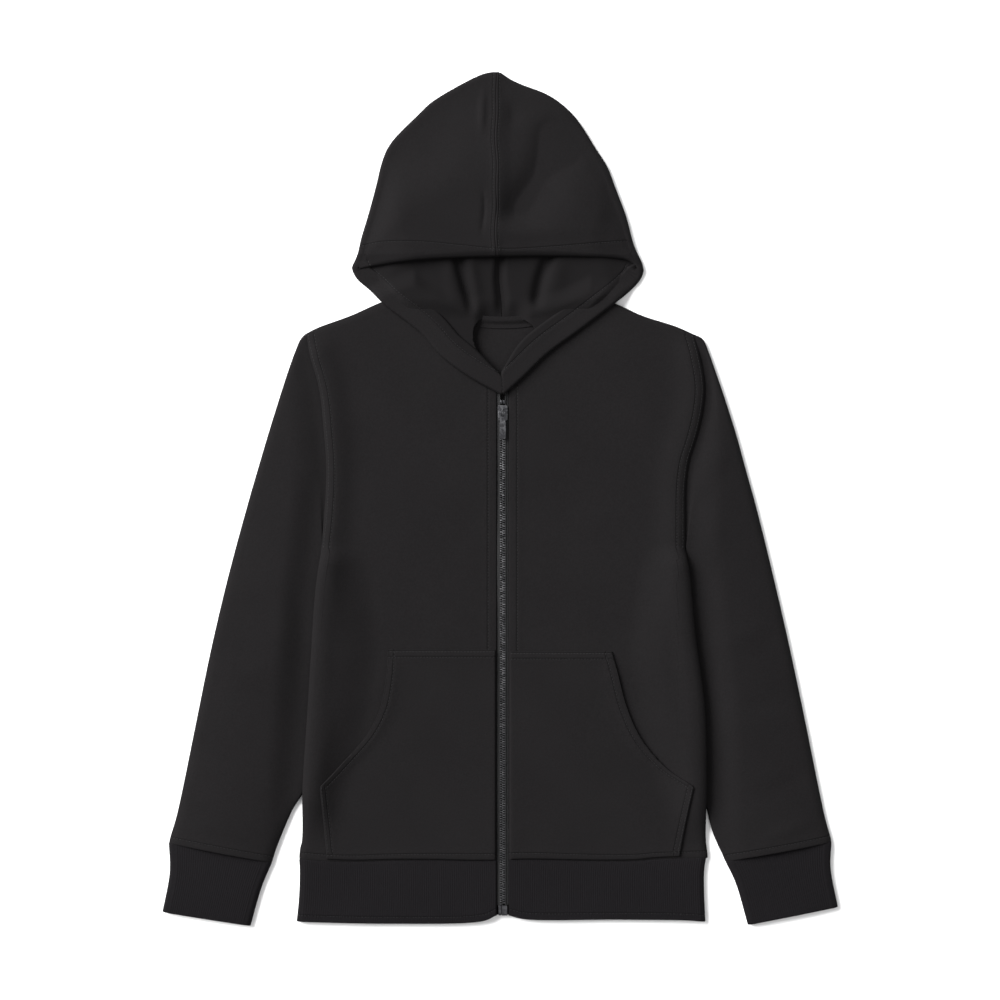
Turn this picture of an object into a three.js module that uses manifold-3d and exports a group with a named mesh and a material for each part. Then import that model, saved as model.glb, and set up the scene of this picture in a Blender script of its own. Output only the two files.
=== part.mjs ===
// A zip up hoodie laid flat with its front up on the plane z = 0.
// Millimetres. X runs to the viewer's right, Y from the hem to the hood, Z out of the front.
import * as THREE from "three";
import { mergeVertices } from "three/addons/utils/BufferGeometryUtils.js";
import Module from "manifold-3d";

const wasm = await Module();
wasm.setup();

// Cloth, gaps and layers.
const CLOTH = 2.2;
const RIB = 2.4;
const SEAM = 0.6;
const LAYER_GAP = 0.5;
const REST_GAP = 0.3;
const RISE = 2.1;
const FRONT_TOP = 2 * CLOTH + LAYER_GAP + RISE;
const POCKET_GAP = 0.8;

// Body.
const HEM_SEAM_Y = -391;
const BODY_CENTRE_X = 2.5;
const ROLL_WIDTH = 18;
const ARMHOLE_BLEND = { below: 10, above: 30 };

// Where the body's sides lie on the sleeves.
const LIFT = 7.4;
const LIFT_RUN_ACROSS = 46;
const LIFT_RUN_ALONG = 27;
const ARMPIT_Y = -54;
const SLEEVE_LEAVES_Y = -322;
const LIFT_END_Y = -374;
const LIFT_MARGIN = 5;

// Sleeves and cuffs.
const SLEEVE_HEIGHT = FRONT_TOP;
const FOLD_DEPTH = 6;
const TUBE_STEPS = 8;
const FOLD_TURNS = [0.25, 0.5, 0.75];
const ARMHOLE_SHAPE_ENDS = 0.3;
const SEAM_SHIFT_ENDS = 0.1;

// Zip.
const ZIP_X = 3;
const ZIP_SLOT = 13.2;
const ZIP_TOP_Y = 112;
const ZIP_BOTTOM_Y = -457;
const CHAIN_WIDTH = 5.8;
const CHAIN_Z = 4.4;
const CHAIN_THICK = 2;
const TAPE_THICK = 0.8;
const TAPE_ABOVE = 5;
const SLIDER_Y = 95;
const ZIP_END_LENGTH = 11;
const STOP = { above: 9.5, length: 4, middleGap: 0.3, sink: 0.2, stand: 0.3 };
const ZIP_BOX = { width: 6.4, x: 1.9, sink: 0.4, stand: 0.8, round: 0.8 };
const ZIP_PIN = { width: 3, x: -3.2, sink: 0.1, stand: 0.3, round: 0.8 };
const PLATE = { width: 10.4, below: 9, above: 8, lower: 1.2, upper: 1.4, round: 2 };
const POST = { half: 1.6, from: 3, to: 7, overlap: 0.6 };
const BAIL = { half: 0.8, length: 3.8, rise: 3, root: 0.8 };
const BAIL_WINDOW = { half: 2, length: 2.6, roof: 1 };
const TAB = { thick: 1.2, above: 1, round: 2 };
const TAB_NECK = { width: 5.6, from: -12, to: 0.6, round: 0.5 };
const TAB_BLADE = { width: 6.6, from: -29, to: -10 };
const TAB_SLOT = { half: 1.4, from: -4.8, to: -0.6 };

// Hood.
const HEM_TURN = 20;
const FOLD_GAP = 2.6;
const CROWN_PUFF = 9.5;
const HOOD_FOLD_DEPTH = 4;
const HOOD_FRONT_Y = 119;
const HOOD_SEAM_TOP_Y = 454;
const NECK_HALF_WIDTH = 24;
const NECK_CLEARS = [14, 32];
const SHOULDER_CLIMB = [-26, -3];
const NECK_DROP = [8, 20];
const RIM_TURN_GROWS = [-0.2, 0.3];
const RIM_TURN_SHRINKS = { from: 0.6, to: 1, by: 0.55 };
const PUFF_GROWS = [0, 0.45];
const GAP_GROWS = [-0.3, 0.12];
const HOOD_LOWER_SHARES = [0, 0.1, 0.24, 0.4, 0.58, 0.74, 0.85, 0.93, 1];
const HOOD_FOLD_TURNS = [1, 0.8, 0.6, 0.4, 0.2, 0];
const HOOD_UPPER_STEPS = 4;
const RIM_STEPS = 9;
const RIM_END_SHARE = 0.05;
const OUTLINE_SHARES = [0, 0.04, 0.1, 0.18, 0.28, 0.4, 0.52, 0.64, 0.76, 0.88, 1];
const CROWN_ROW = 14;

// Pockets and hem.
const POCKET_SETBACK = 1.5;
const POCKET_ABOVE_HEM = 3;
const POCKET_COLUMNS = [0, 0.04, 0.09, 0.16, 0.25, 0.36, 0.5, 0.75, 1];
const POCKET_ROWS = 13;
const HEM_COLUMNS = [0, 0.04, 0.1, 0.3, 0.5, 0.7, 0.9, 0.96, 1];
const HEM_ROWS = [0, 0.25, 0.6, 1];
const SLEEVE_SHARES = [0, 0.06, 0.13, 0.21, 0.3, 0.4, 0.5, 0.6, 0.7, 0.8, 0.88, 0.94, 1];
const CUFF_STEPS = 4;
const NECK_STEPS = 6;
const HOOD_NECK_STEPS = 5;

const COLOURS = {
  fleece: 0x252324,
  rib: 0x202123,
  tape: 0x1b1b1d,
  metal: 0x6f7073,
};

// Outlines, one row a point: x, y.
const SIDE_LINES = {
  left: {
    sleeveOuter: [
      [-213, 185], [-219, 177], [-230, 152], [-245, 111], [-261, 70], [-283, -14],
      [-306, -100], [-324, -190], [-343, -282], [-357, -352], [-362.5, -378],
    ],
    sleeveInner: [
      [-196.5, -54], [-203.5, -86], [-190, -124], [-183, -172], [-190, -227],
      [-203, -282], [-217, -322], [-231, -342], [-241, -364], [-247.5, -384], [-252, -399],
    ],
    armhole: [
      [-213, 185], [-208, 157], [-198, 121], [-192.5, 71], [-190, 32], [-192, -14], [-196, -54],
    ],
    side: [
      [-217.5, -391], [-217.3, -373], [-216.7, -318], [-212, -243], [-207, -164],
      [-202.5, -100], [-196, -54],
    ],
    shoulder: [[-213, 185], [-130, 218], [-93.5, 229]],
    neckline: [[-93.5, 229], [-78, 190], [-46, 153], [-4, 125]],
    cuffOuter: [[-361.5, -410], [-369.5, -453]],
    cuffInner: [[-261, -425], [-275, -468.6]],
    hemSide: [[-220, -391.6], [-219, -404], [-221, -440], [-223, -464]],
    hemBottom: [[-223, -464], [-120, -466], [-18, -463], [-4.5, -457]],
    pocket: [[-123, -166], [-124.5, -192], [-131, -228], [-145, -257], [-177, -294], [-197, -315]],
    pocketSide: [[-197, -315], [-190, -388]],
    hoodRim: [[1.5, 114], [-33, 133], [-64, 156], [-87, 181.5], [-130, 218], [-163, 250]],
    hoodInnerFold: [[-24, 161], [-29, 178], [-28, 188]],
    hoodOutline: [
      [-163, 254], [-156, 269.5], [-144, 315], [-125.5, 382], [-109, 404], [-77, 435],
      [-42, 455.5], [-14, 468.5], [2.2, 469.6],
    ],
    crownRim: [[-155, 254], [-131, 259.5], [-86, 265], [-42, 267.3], [2.2, 268.4]],
  },
  right: {
    sleeveOuter: [
      [213, 185], [223, 175], [232, 153], [246.5, 114], [261, 81], [286, -18],
      [309, -111], [330, -199], [344, -271], [357.5, -353], [363, -377],
    ],
    sleeveInner: [
      [203.5, -54], [210.5, -86], [196, -124], [189, -172], [198, -227],
      [213, -287], [226.6, -335], [234, -364], [240.5, -380], [245, -389.5], [248.6, -398],
    ],
    armhole: [
      [213, 185], [219, 156], [224, 124], [222, 98], [215.5, 69], [207, 41], [203.5, 12],
      [203, -25], [203, -54],
    ],
    side: [
      [226.5, -391], [226.6, -345], [226.6, -277], [224.4, -224], [214, -144],
      [208, -80], [203, -54],
    ],
    shoulder: [[213, 185], [124, 216], [99, 222]],
    neckline: [[99, 222], [80, 190], [45, 163], [10, 125]],
    cuffOuter: [[362, -405], [370, -446.5]],
    cuffInner: [[260, -421], [273, -464.5]],
    hemSide: [[228.5, -391.6], [225, -404], [224.5, -440], [225.5, -464]],
    hemBottom: [[225.5, -464], [130, -463], [26, -462], [10.5, -457]],
    pocket: [[123, -168], [129, -190], [139, -228], [155, -263], [183, -295], [212, -314]],
    pocketSide: [[212, -314], [197, -388]],
    hoodRim: [[4.5, 114], [27, 136], [50, 160], [93, 187], [124, 215], [157.5, 250]],
    hoodInnerFold: [[31, 161], [38, 178], [37, 188]],
    hoodOutline: [
      [158, 252], [156, 258.5], [139, 310], [118, 364], [89, 411], [78, 424.5], [48.5, 446.5],
      [26.5, 456], [2.8, 469.6],
    ],
    crownRim: [[150, 258], [138.5, 265], [93.5, 268.4], [48.5, 269], [2.8, 268.4]],
  },
};

// The back's neck edge, a shallow dip between the high points of the shoulders.
const BACK_NECK = { left: -93.5, right: 99, middleY: 194.7, leftY: 229, rightY: 222, power: 2.2 };

const clamp01 = (value) => Math.min(1, Math.max(0, value));

// 0 below a, 1 above b, with a soft start and end.
function ease(a, b, value) {
  const t = clamp01((value - a) / (b - a));
  return t * t * (3 - 2 * t);
}

const vector = (row) => new THREE.Vector3(row[0], row[1], 0);

// A smooth line through the rows of a table.
const smoothLine = (rows) =>
  new THREE.CatmullRomCurve3(rows.map(vector), false, "centripetal");

// Several lines end to end, read by their share of the whole length.
function joinedLine(...lines) {
  const path = new THREE.CurvePath();
  for (const line of lines) path.add(line);
  return (share) => path.getPointAt(clamp01(share));
}

const along = (rows) => joinedLine(smoothLine(rows));
const straight = (from, to) => (share) => from.clone().lerp(to, share);

// The x of a side line at the height y, from the table that runs between its two ends.
function xAt(rows, y) {
  const upward = rows[0][1] < rows[rows.length - 1][1] ? rows : [...rows].reverse();
  let below = upward[0];
  for (const row of upward) {
    if (row[1] >= y) {
      const span = row[1] - below[1];
      return span > 0 ? below[0] + ((row[0] - below[0]) * (y - below[1])) / span : row[0];
    }
    below = row;
  }
  return below[0];
}

// The y of a line at x, for lines that run across.
const yAt = (rows, x) => xAt(rows.map(([a, b]) => [b, a]), x);

const evenShares = (count) => Array.from({ length: count + 1 }, (_, i) => i / count);

// A grid of plan points that fills the four lines around it.
function fill({ bottom, top, left, right }, across, up) {
  const low = { start: bottom(0), end: bottom(1) };
  const high = { start: top(0), end: top(1) };
  return up.map((v) =>
    across.map((u) => {
      const rulings = left(v).multiplyScalar(1 - u).add(right(v).multiplyScalar(u));
      rulings.add(bottom(u).multiplyScalar(1 - v)).add(top(u).multiplyScalar(v));
      const corners = low.start.clone().multiplyScalar((1 - u) * (1 - v));
      corners.addScaledVector(low.end, u * (1 - v));
      corners.addScaledVector(high.start, (1 - u) * v);
      corners.addScaledVector(high.end, u * v);
      return rulings.sub(corners);
    }),
  );
}

const lifted = (grid, height) =>
  grid.map((row) => row.map((p) => new THREE.Vector3(p.x, p.y, height(p.x, p.y))));

const raised = (grid, amount) =>
  grid.map((row) => row.map((p) => new THREE.Vector3(p.x, p.y, p.z + amount)));

function signedVolume(position, index) {
  const a = new THREE.Vector3();
  const b = new THREE.Vector3();
  const c = new THREE.Vector3();
  let total = 0;
  for (let i = 0; i < index.length; i += 3) {
    a.fromBufferAttribute(position, index[i]);
    b.fromBufferAttribute(position, index[i + 1]);
    c.fromBufferAttribute(position, index[i + 2]);
    total += a.dot(b.cross(c));
  }
  return total;
}

// A closed wall between two grids of the same size; a tube's rows join end to start.
function wallBetween(inner, outer, isTube = false) {
  const rows = inner.length;
  const columns = inner[0].length;
  const points = [...inner.flat(), ...outer.flat()];
  const index = [];
  const at = (layer, i, j) => layer * rows * columns + i * columns + (j % columns);
  const quad = (a, b, c, d) => index.push(a, b, c, a, c, d);
  const steps = isTube ? columns : columns - 1;
  for (let i = 0; i < rows - 1; i += 1) {
    for (let j = 0; j < steps; j += 1) {
      quad(at(1, i, j), at(1, i, j + 1), at(1, i + 1, j + 1), at(1, i + 1, j));
      quad(at(0, i, j), at(0, i + 1, j), at(0, i + 1, j + 1), at(0, i, j + 1));
    }
  }
  for (let j = 0; j < steps; j += 1) {
    quad(at(0, 0, j), at(0, 0, j + 1), at(1, 0, j + 1), at(1, 0, j));
    quad(at(0, rows - 1, j + 1), at(0, rows - 1, j), at(1, rows - 1, j), at(1, rows - 1, j + 1));
  }
  if (!isTube) {
    const last = columns - 1;
    for (let i = 0; i < rows - 1; i += 1) {
      quad(at(0, i + 1, 0), at(0, i, 0), at(1, i, 0), at(1, i + 1, 0));
      quad(at(0, i, last), at(0, i + 1, last), at(1, i + 1, last), at(1, i, last));
    }
  }
  const geometry = new THREE.BufferGeometry();
  geometry.setAttribute(
    "position",
    new THREE.Float32BufferAttribute(points.flatMap((p) => [p.x, p.y, p.z]), 3),
  );
  if (signedVolume(geometry.getAttribute("position"), index) < 0) index.reverse();
  geometry.setIndex(index);
  return geometry;
}

// Normals of a grid, from the points on each side.
function gridNormals(grid) {
  const rows = grid.length;
  const columns = grid[0].length;
  return grid.map((row, i) =>
    row.map((point, j) => {
      const down = grid[Math.min(i + 1, rows - 1)][j].clone().sub(grid[Math.max(i - 1, 0)][j]);
      const over = row[Math.min(j + 1, columns - 1)].clone().sub(row[Math.max(j - 1, 0)]);
      return over.cross(down).normalize();
    }),
  );
}

// Booleans.
function solidFrom(geometry) {
  const bare = geometry.clone();
  bare.deleteAttribute("normal");
  bare.deleteAttribute("uv");
  const merged = mergeVertices(bare, 1e-4);
  return new wasm.Manifold(
    new wasm.Mesh({
      numProp: 3,
      vertProperties: new Float32Array(merged.attributes.position.array),
      triVerts: new Uint32Array(merged.index.array),
    }),
  );
}

function geometryFrom(solid) {
  const mesh = solid.getMesh();
  const geometry = new THREE.BufferGeometry();
  geometry.setAttribute("position", new THREE.Float32BufferAttribute(mesh.vertProperties, 3));
  geometry.setIndex([...mesh.triVerts]);
  return geometry;
}

const hoodie = new THREE.Group();
const materials = {};
for (const [name, color] of Object.entries(COLOURS)) {
  const metalness = name === "metal" ? 0.85 : 0;
  const roughness = name === "metal" ? 0.4 : 0.95;
  materials[name] = new THREE.MeshStandardMaterial({ color, roughness, metalness });
}

function addPiece(name, geometry, material) {
  const mesh = new THREE.Mesh(geometry, materials[material]);
  mesh.name = name;
  geometry.computeVertexNormals();
  hoodie.add(mesh);
  return mesh;
}

// How far a point lies in from the side, and how far the sleeve reaches in under it.
function fromSide(lines, isLeft, x, y) {
  const edge = y > ARMPIT_Y ? xAt(lines.armhole, y) : xAt(lines.side, y);
  return isLeft ? x - edge : edge - x;
}

function tuck(lines, isLeft, y) {
  const sleeve = xAt(lines.sleeveInner, y);
  const side = xAt(lines.side, y);
  return Math.max(0, isLeft ? sleeve - side : side - sleeve);
}

// Height of the body's underside, which climbs over the sleeves at both sides.
function bodyLift(x, y) {
  const isLeft = x < BODY_CENTRE_X;
  const lines = isLeft ? SIDE_LINES.left : SIDE_LINES.right;
  const alongSide =
    (1 - ease(ARMPIT_Y - LIFT_RUN_ALONG, ARMPIT_Y, y)) * ease(LIFT_END_Y, SLEEVE_LEAVES_Y, y);
  if (alongSide === 0) return 0;
  const covered = tuck(lines, isLeft, y) + LIFT_MARGIN;
  const across = ease(covered, covered + LIFT_RUN_ACROSS, fromSide(lines, isLeft, x, y));
  return LIFT * alongSide * (1 - across);
}

// Height of the front's underside: it rolls down to the back at the side and shoulder seams.
function frontUnder(x, y) {
  const isLeft = x < BODY_CENTRE_X;
  const lines = isLeft ? SIDE_LINES.left : SIDE_LINES.right;
  const sideRoll = ease(0, ROLL_WIDTH, fromSide(lines, isLeft, x, y));
  const atArmhole = ease(ARMPIT_Y - ARMHOLE_BLEND.below, ARMPIT_Y + ARMHOLE_BLEND.above, y);
  const shoulderDrop = yAt(lines.shoulder, x) - y;
  const isBelowNeck = isLeft ? x > lines.neckline[0][0] : x < lines.neckline[0][0];
  const shoulderRoll = isBelowNeck ? 1 : ease(0, ROLL_WIDTH, shoulderDrop);
  const roll = Math.max(sideRoll, atArmhole) * shoulderRoll;
  return bodyLift(x, y) + CLOTH + LAYER_GAP + RISE * roll;
}

const BODY_ROWS = [
  0, 0.04, 0.08, 0.13, 0.22, 0.32, 0.42, 0.49, 0.53, 0.56, 0.583, 0.62, 0.66, 0.7, 0.74, 0.78, 0.82,
  0.87, 0.92, 0.965, 1,
];
const HALF_COLUMNS = [0, 0.045, 0.1, 0.17, 0.25, 0.34, 0.45, 0.55, 0.68, 0.8, 0.9, 1];

// One half of the body between its side and a middle line, below a given top line.
function bodyHalf(lines, top, middleX) {
  const sideUp = smoothLine(lines.side);
  const armholeUp = smoothLine([...lines.armhole].reverse());
  const outerEdge = joinedLine(sideUp, armholeUp);
  const inset = (SEAM / 2) * Math.sign(BODY_CENTRE_X - lines.side[0][0]);
  const side = (v) => outerEdge(v).add(new THREE.Vector3(inset, 0, 0));
  const hem = straight(side(0), new THREE.Vector3(middleX, HEM_SEAM_Y, 0));
  const start = side(1);
  const end = top(1);
  const topLine = (u) => (u <= 0 ? start.clone() : top(u));
  const middle = straight(new THREE.Vector3(middleX, HEM_SEAM_Y, 0), new THREE.Vector3(middleX, end.y, 0));
  return fill({ bottom: hem, top: topLine, left: side, right: middle }, HALF_COLUMNS, BODY_ROWS);
}

function backNeckY(x) {
  const isLeft = x < BODY_CENTRE_X;
  const end = isLeft ? BACK_NECK.left : BACK_NECK.right;
  const endY = isLeft ? BACK_NECK.leftY : BACK_NECK.rightY;
  const share = clamp01((x - BODY_CENTRE_X) / (end - BODY_CENTRE_X));
  return BACK_NECK.middleY + (endY - BACK_NECK.middleY) * Math.pow(share, BACK_NECK.power);
}

// The back's neck edge as a line from the high point of one shoulder to the middle.
function backNeckRows(lines) {
  const from = lines.shoulder[lines.shoulder.length - 1][0];
  return evenShares(NECK_STEPS).map((share) => {
    const x = from + (BODY_CENTRE_X - from) * share;
    return [x, backNeckY(x)];
  });
}

function addBack() {
  const halves = ["left", "right"].map((key) => {
    const lines = SIDE_LINES[key];
    const top = joinedLine(smoothLine(lines.shoulder), smoothLine(backNeckRows(lines)));
    return bodyHalf(lines, top, BODY_CENTRE_X);
  });
  const plan = halves[0].map((row, i) => [...row, ...halves[1][i].slice(0, -1).reverse()]);
  const under = lifted(plan, bodyLift);
  addPiece("back", wallBetween(under, raised(under, CLOTH)), "fleece");
}

function addFronts() {
  const unders = {};
  for (const [key, lines] of Object.entries(SIDE_LINES)) {
    const edgeX = ZIP_X + (key === "left" ? -1 : 1) * (ZIP_SLOT / 2);
    const neckline = [...lines.neckline.slice(0, -1), [edgeX, lines.neckline.at(-1)[1]]];
    const top = joinedLine(smoothLine(lines.shoulder), smoothLine(neckline));
    const under = lifted(bodyHalf(lines, top, edgeX), frontUnder);
    unders[key] = under;
    addPiece(`front_${key}`, wallBetween(under, raised(under, CLOTH)), "fleece");
  }
  return unders;
}

// Height of a grid's surface at a plan point, read from the triangles of its cells.
function surfaceAt(grid, x, y) {
  const target = new THREE.Vector3(x, y, 0);
  const flat = (p) => new THREE.Vector3(p.x, p.y, 0);
  const weights = new THREE.Vector3();
  let best = null;
  for (let i = 0; i < grid.length - 1; i += 1) {
    for (let j = 0; j < grid[0].length - 1; j += 1) {
      const [a, b, c, d] = [grid[i][j], grid[i][j + 1], grid[i + 1][j + 1], grid[i + 1][j]];
      for (const corners of [[a, b, c], [a, c, d]]) {
        THREE.Triangle.getBarycoord(target, ...corners.map(flat), weights);
        const outside = Math.max(0, -weights.x, -weights.y, -weights.z);
        if (best && outside >= best.outside) continue;
        const z = weights.x * corners[0].z + weights.y * corners[1].z + weights.z * corners[2].z;
        best = { outside, z };
      }
    }
  }
  return best.z;
}

// Pockets, sewn on the fronts and open along the slanted curve.
function addPockets(unders) {
  for (const [key, lines] of Object.entries(SIDE_LINES)) {
    const inwards = key === "left" ? 1 : -1;
    const innerX = ZIP_X - inwards * (ZIP_SLOT / 2 + POCKET_SETBACK);
    const topY = lines.pocket[0][1];
    const outer = joinedLine(
      smoothLine([...lines.pocketSide].reverse()),
      smoothLine([...lines.pocket].reverse()),
    );
    const bottomY = HEM_SEAM_Y + POCKET_ABOVE_HEM;
    const plan = fill(
      {
        bottom: straight(outer(0), new THREE.Vector3(innerX, bottomY, 0)),
        top: straight(outer(1), new THREE.Vector3(innerX, topY, 0)),
        left: outer,
        right: straight(new THREE.Vector3(innerX, bottomY, 0), new THREE.Vector3(innerX, topY, 0)),
      },
      POCKET_COLUMNS,
      evenShares(POCKET_ROWS),
    );
    const cover = (x, y) => surfaceAt(unders[key], x, y) + CLOTH + POCKET_GAP;
    const under = lifted(plan, cover);
    addPiece(`pocket_${key}`, wallBetween(under, raised(under, CLOTH)), "fleece");
  }
}

// Hem band, three flat rib pieces.
function addHem() {
  const halfPlan = (lines, middleX) => {
    const side = along([...lines.hemSide].reverse());
    const bottom = joinedLine(
      smoothLine(lines.hemBottom),
      new THREE.LineCurve3(vector(lines.hemBottom.at(-1)), new THREE.Vector3(middleX, ZIP_BOTTOM_Y, 0)),
    );
    const seamY = HEM_SEAM_Y - SEAM;
    const corner = new THREE.Vector3(middleX, seamY, 0);
    return fill(
      {
        bottom,
        top: straight(side(1), corner),
        left: side,
        right: straight(bottom(1), corner),
      },
      HEM_COLUMNS,
      HEM_ROWS,
    );
  };
  const halves = Object.values(SIDE_LINES).map((lines) => halfPlan(lines, BODY_CENTRE_X));
  const plan = halves[0].map((row, i) => [...row, ...halves[1][i].slice(0, -1).reverse()]);
  const under = lifted(plan, () => 0);
  addPiece("hem_back", wallBetween(under, raised(under, RIB)), "rib");
  for (const [key, lines] of Object.entries(SIDE_LINES)) {
    const edgeX = ZIP_X + (key === "left" ? -1 : 1) * (ZIP_SLOT / 2);
    const sideX = lines.hemSide[2][0];
    const height = (x) => RIB + LAYER_GAP + RISE * ease(0, ROLL_WIDTH, Math.abs(x - sideX));
    const front = lifted(halfPlan(lines, edgeX), height);
    addPiece(`hem_front_${key}`, wallBetween(front, raised(front, RIB)), "rib");
  }
}

// The outline of a flattened tube's section: its share across and its height, from -1 to 1.
function tubeSection(width, height, inset) {
  const halfHeight = height / 2 - inset;
  const depth = FOLD_DEPTH - inset;
  const from = inset + depth;
  const to = width - from;
  const outline = [];
  for (const share of evenShares(TUBE_STEPS)) outline.push([from + (to - from) * share, -halfHeight]);
  for (const turn of FOLD_TURNS) {
    const angle = Math.PI * (turn - 0.5);
    outline.push([to + depth * Math.cos(angle), halfHeight * Math.sin(angle)]);
  }
  for (const share of evenShares(TUBE_STEPS)) outline.push([to - (to - from) * share, halfHeight]);
  for (const turn of FOLD_TURNS) {
    const angle = Math.PI * (turn + 0.5);
    outline.push([from + depth * Math.cos(angle), halfHeight * Math.sin(angle)]);
  }
  return outline;
}

// A flattened tube between an outer and an inner line; bend shapes each section in plan.
function flattenedTube(outerLine, innerLine, shares, height, thick, bend) {
  const ring = (share, inset) => {
    const from = outerLine(share);
    const to = innerLine(share);
    const width = from.distanceTo(to);
    return tubeSection(width, height, inset).map(([across, z]) => {
      const point = from.clone().lerp(to, across / width).add(bend(share, across / width));
      point.z = height / 2 + z;
      return point;
    });
  };
  const inner = shares.map((share) => ring(share, thick));
  const outer = shares.map((share) => ring(share, 0));
  return wallBetween(inner, outer, true);
}

function addSleevesAndCuffs() {
  for (const [key, lines] of Object.entries(SIDE_LINES)) {
    const outwards = key === "left" ? -1 : 1;
    const armhole = along(lines.armhole);
    const chord = straight(armhole(0), armhole(1));
    const bend = (share, across) => {
      const fade = 1 - ease(0, ARMHOLE_SHAPE_ENDS, share);
      const shift = armhole(across).sub(chord(across)).multiplyScalar(fade);
      shift.x += outwards * SEAM * (1 - ease(SEAM_SHIFT_ENDS, ARMHOLE_SHAPE_ENDS, share));
      return shift;
    };
    const sleeve = flattenedTube(
      along(lines.sleeveOuter), along(lines.sleeveInner), SLEEVE_SHARES, SLEEVE_HEIGHT, CLOTH, bend,
    );
    addPiece(`sleeve_${key}`, sleeve, "fleece");
    const noBend = () => new THREE.Vector3();
    const belowSleeve = (sleeveRows, cuffRows) => {
      const [x, y] = sleeveRows.at(-1);
      return along([[x, y - SEAM], ...cuffRows]);
    };
    const cuff = flattenedTube(
      belowSleeve(lines.sleeveOuter, lines.cuffOuter),
      belowSleeve(lines.sleeveInner, lines.cuffInner),
      evenShares(CUFF_STEPS), SLEEVE_HEIGHT, RIB, noBend,
    );
    addPiece(`cuff_${key}`, cuff, "rib");
  }
}

// Height of the hood's lower layer over the shoulders and the neck opening.
function hoodLift(lines, isLeft, x, y) {
  const offCentre = Math.abs(x - BODY_CENTRE_X);
  const sidewards = ease(...NECK_CLEARS, offCentre);
  const highPoint = lines.shoulder.at(-1)[0];
  const isOverNeck = isLeft ? x > highPoint : x < highPoint;
  const shoulderOut = [...lines.shoulder].reverse();
  const slope = (shoulderOut[1][1] - shoulderOut[0][1]) / (shoulderOut[1][0] - shoulderOut[0][0]);
  const shoulderY = shoulderOut[0][1] + slope * (x - shoulderOut[0][0]);
  const edgeY = isOverNeck ? backNeckY(x) : shoulderY;
  const below = ease(...NECK_DROP, backNeckY(x) - y);
  const beside = sidewards * ease(...SHOULDER_CLIMB, edgeY - y);
  return (FRONT_TOP + REST_GAP) * Math.max(beside, below);
}

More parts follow.
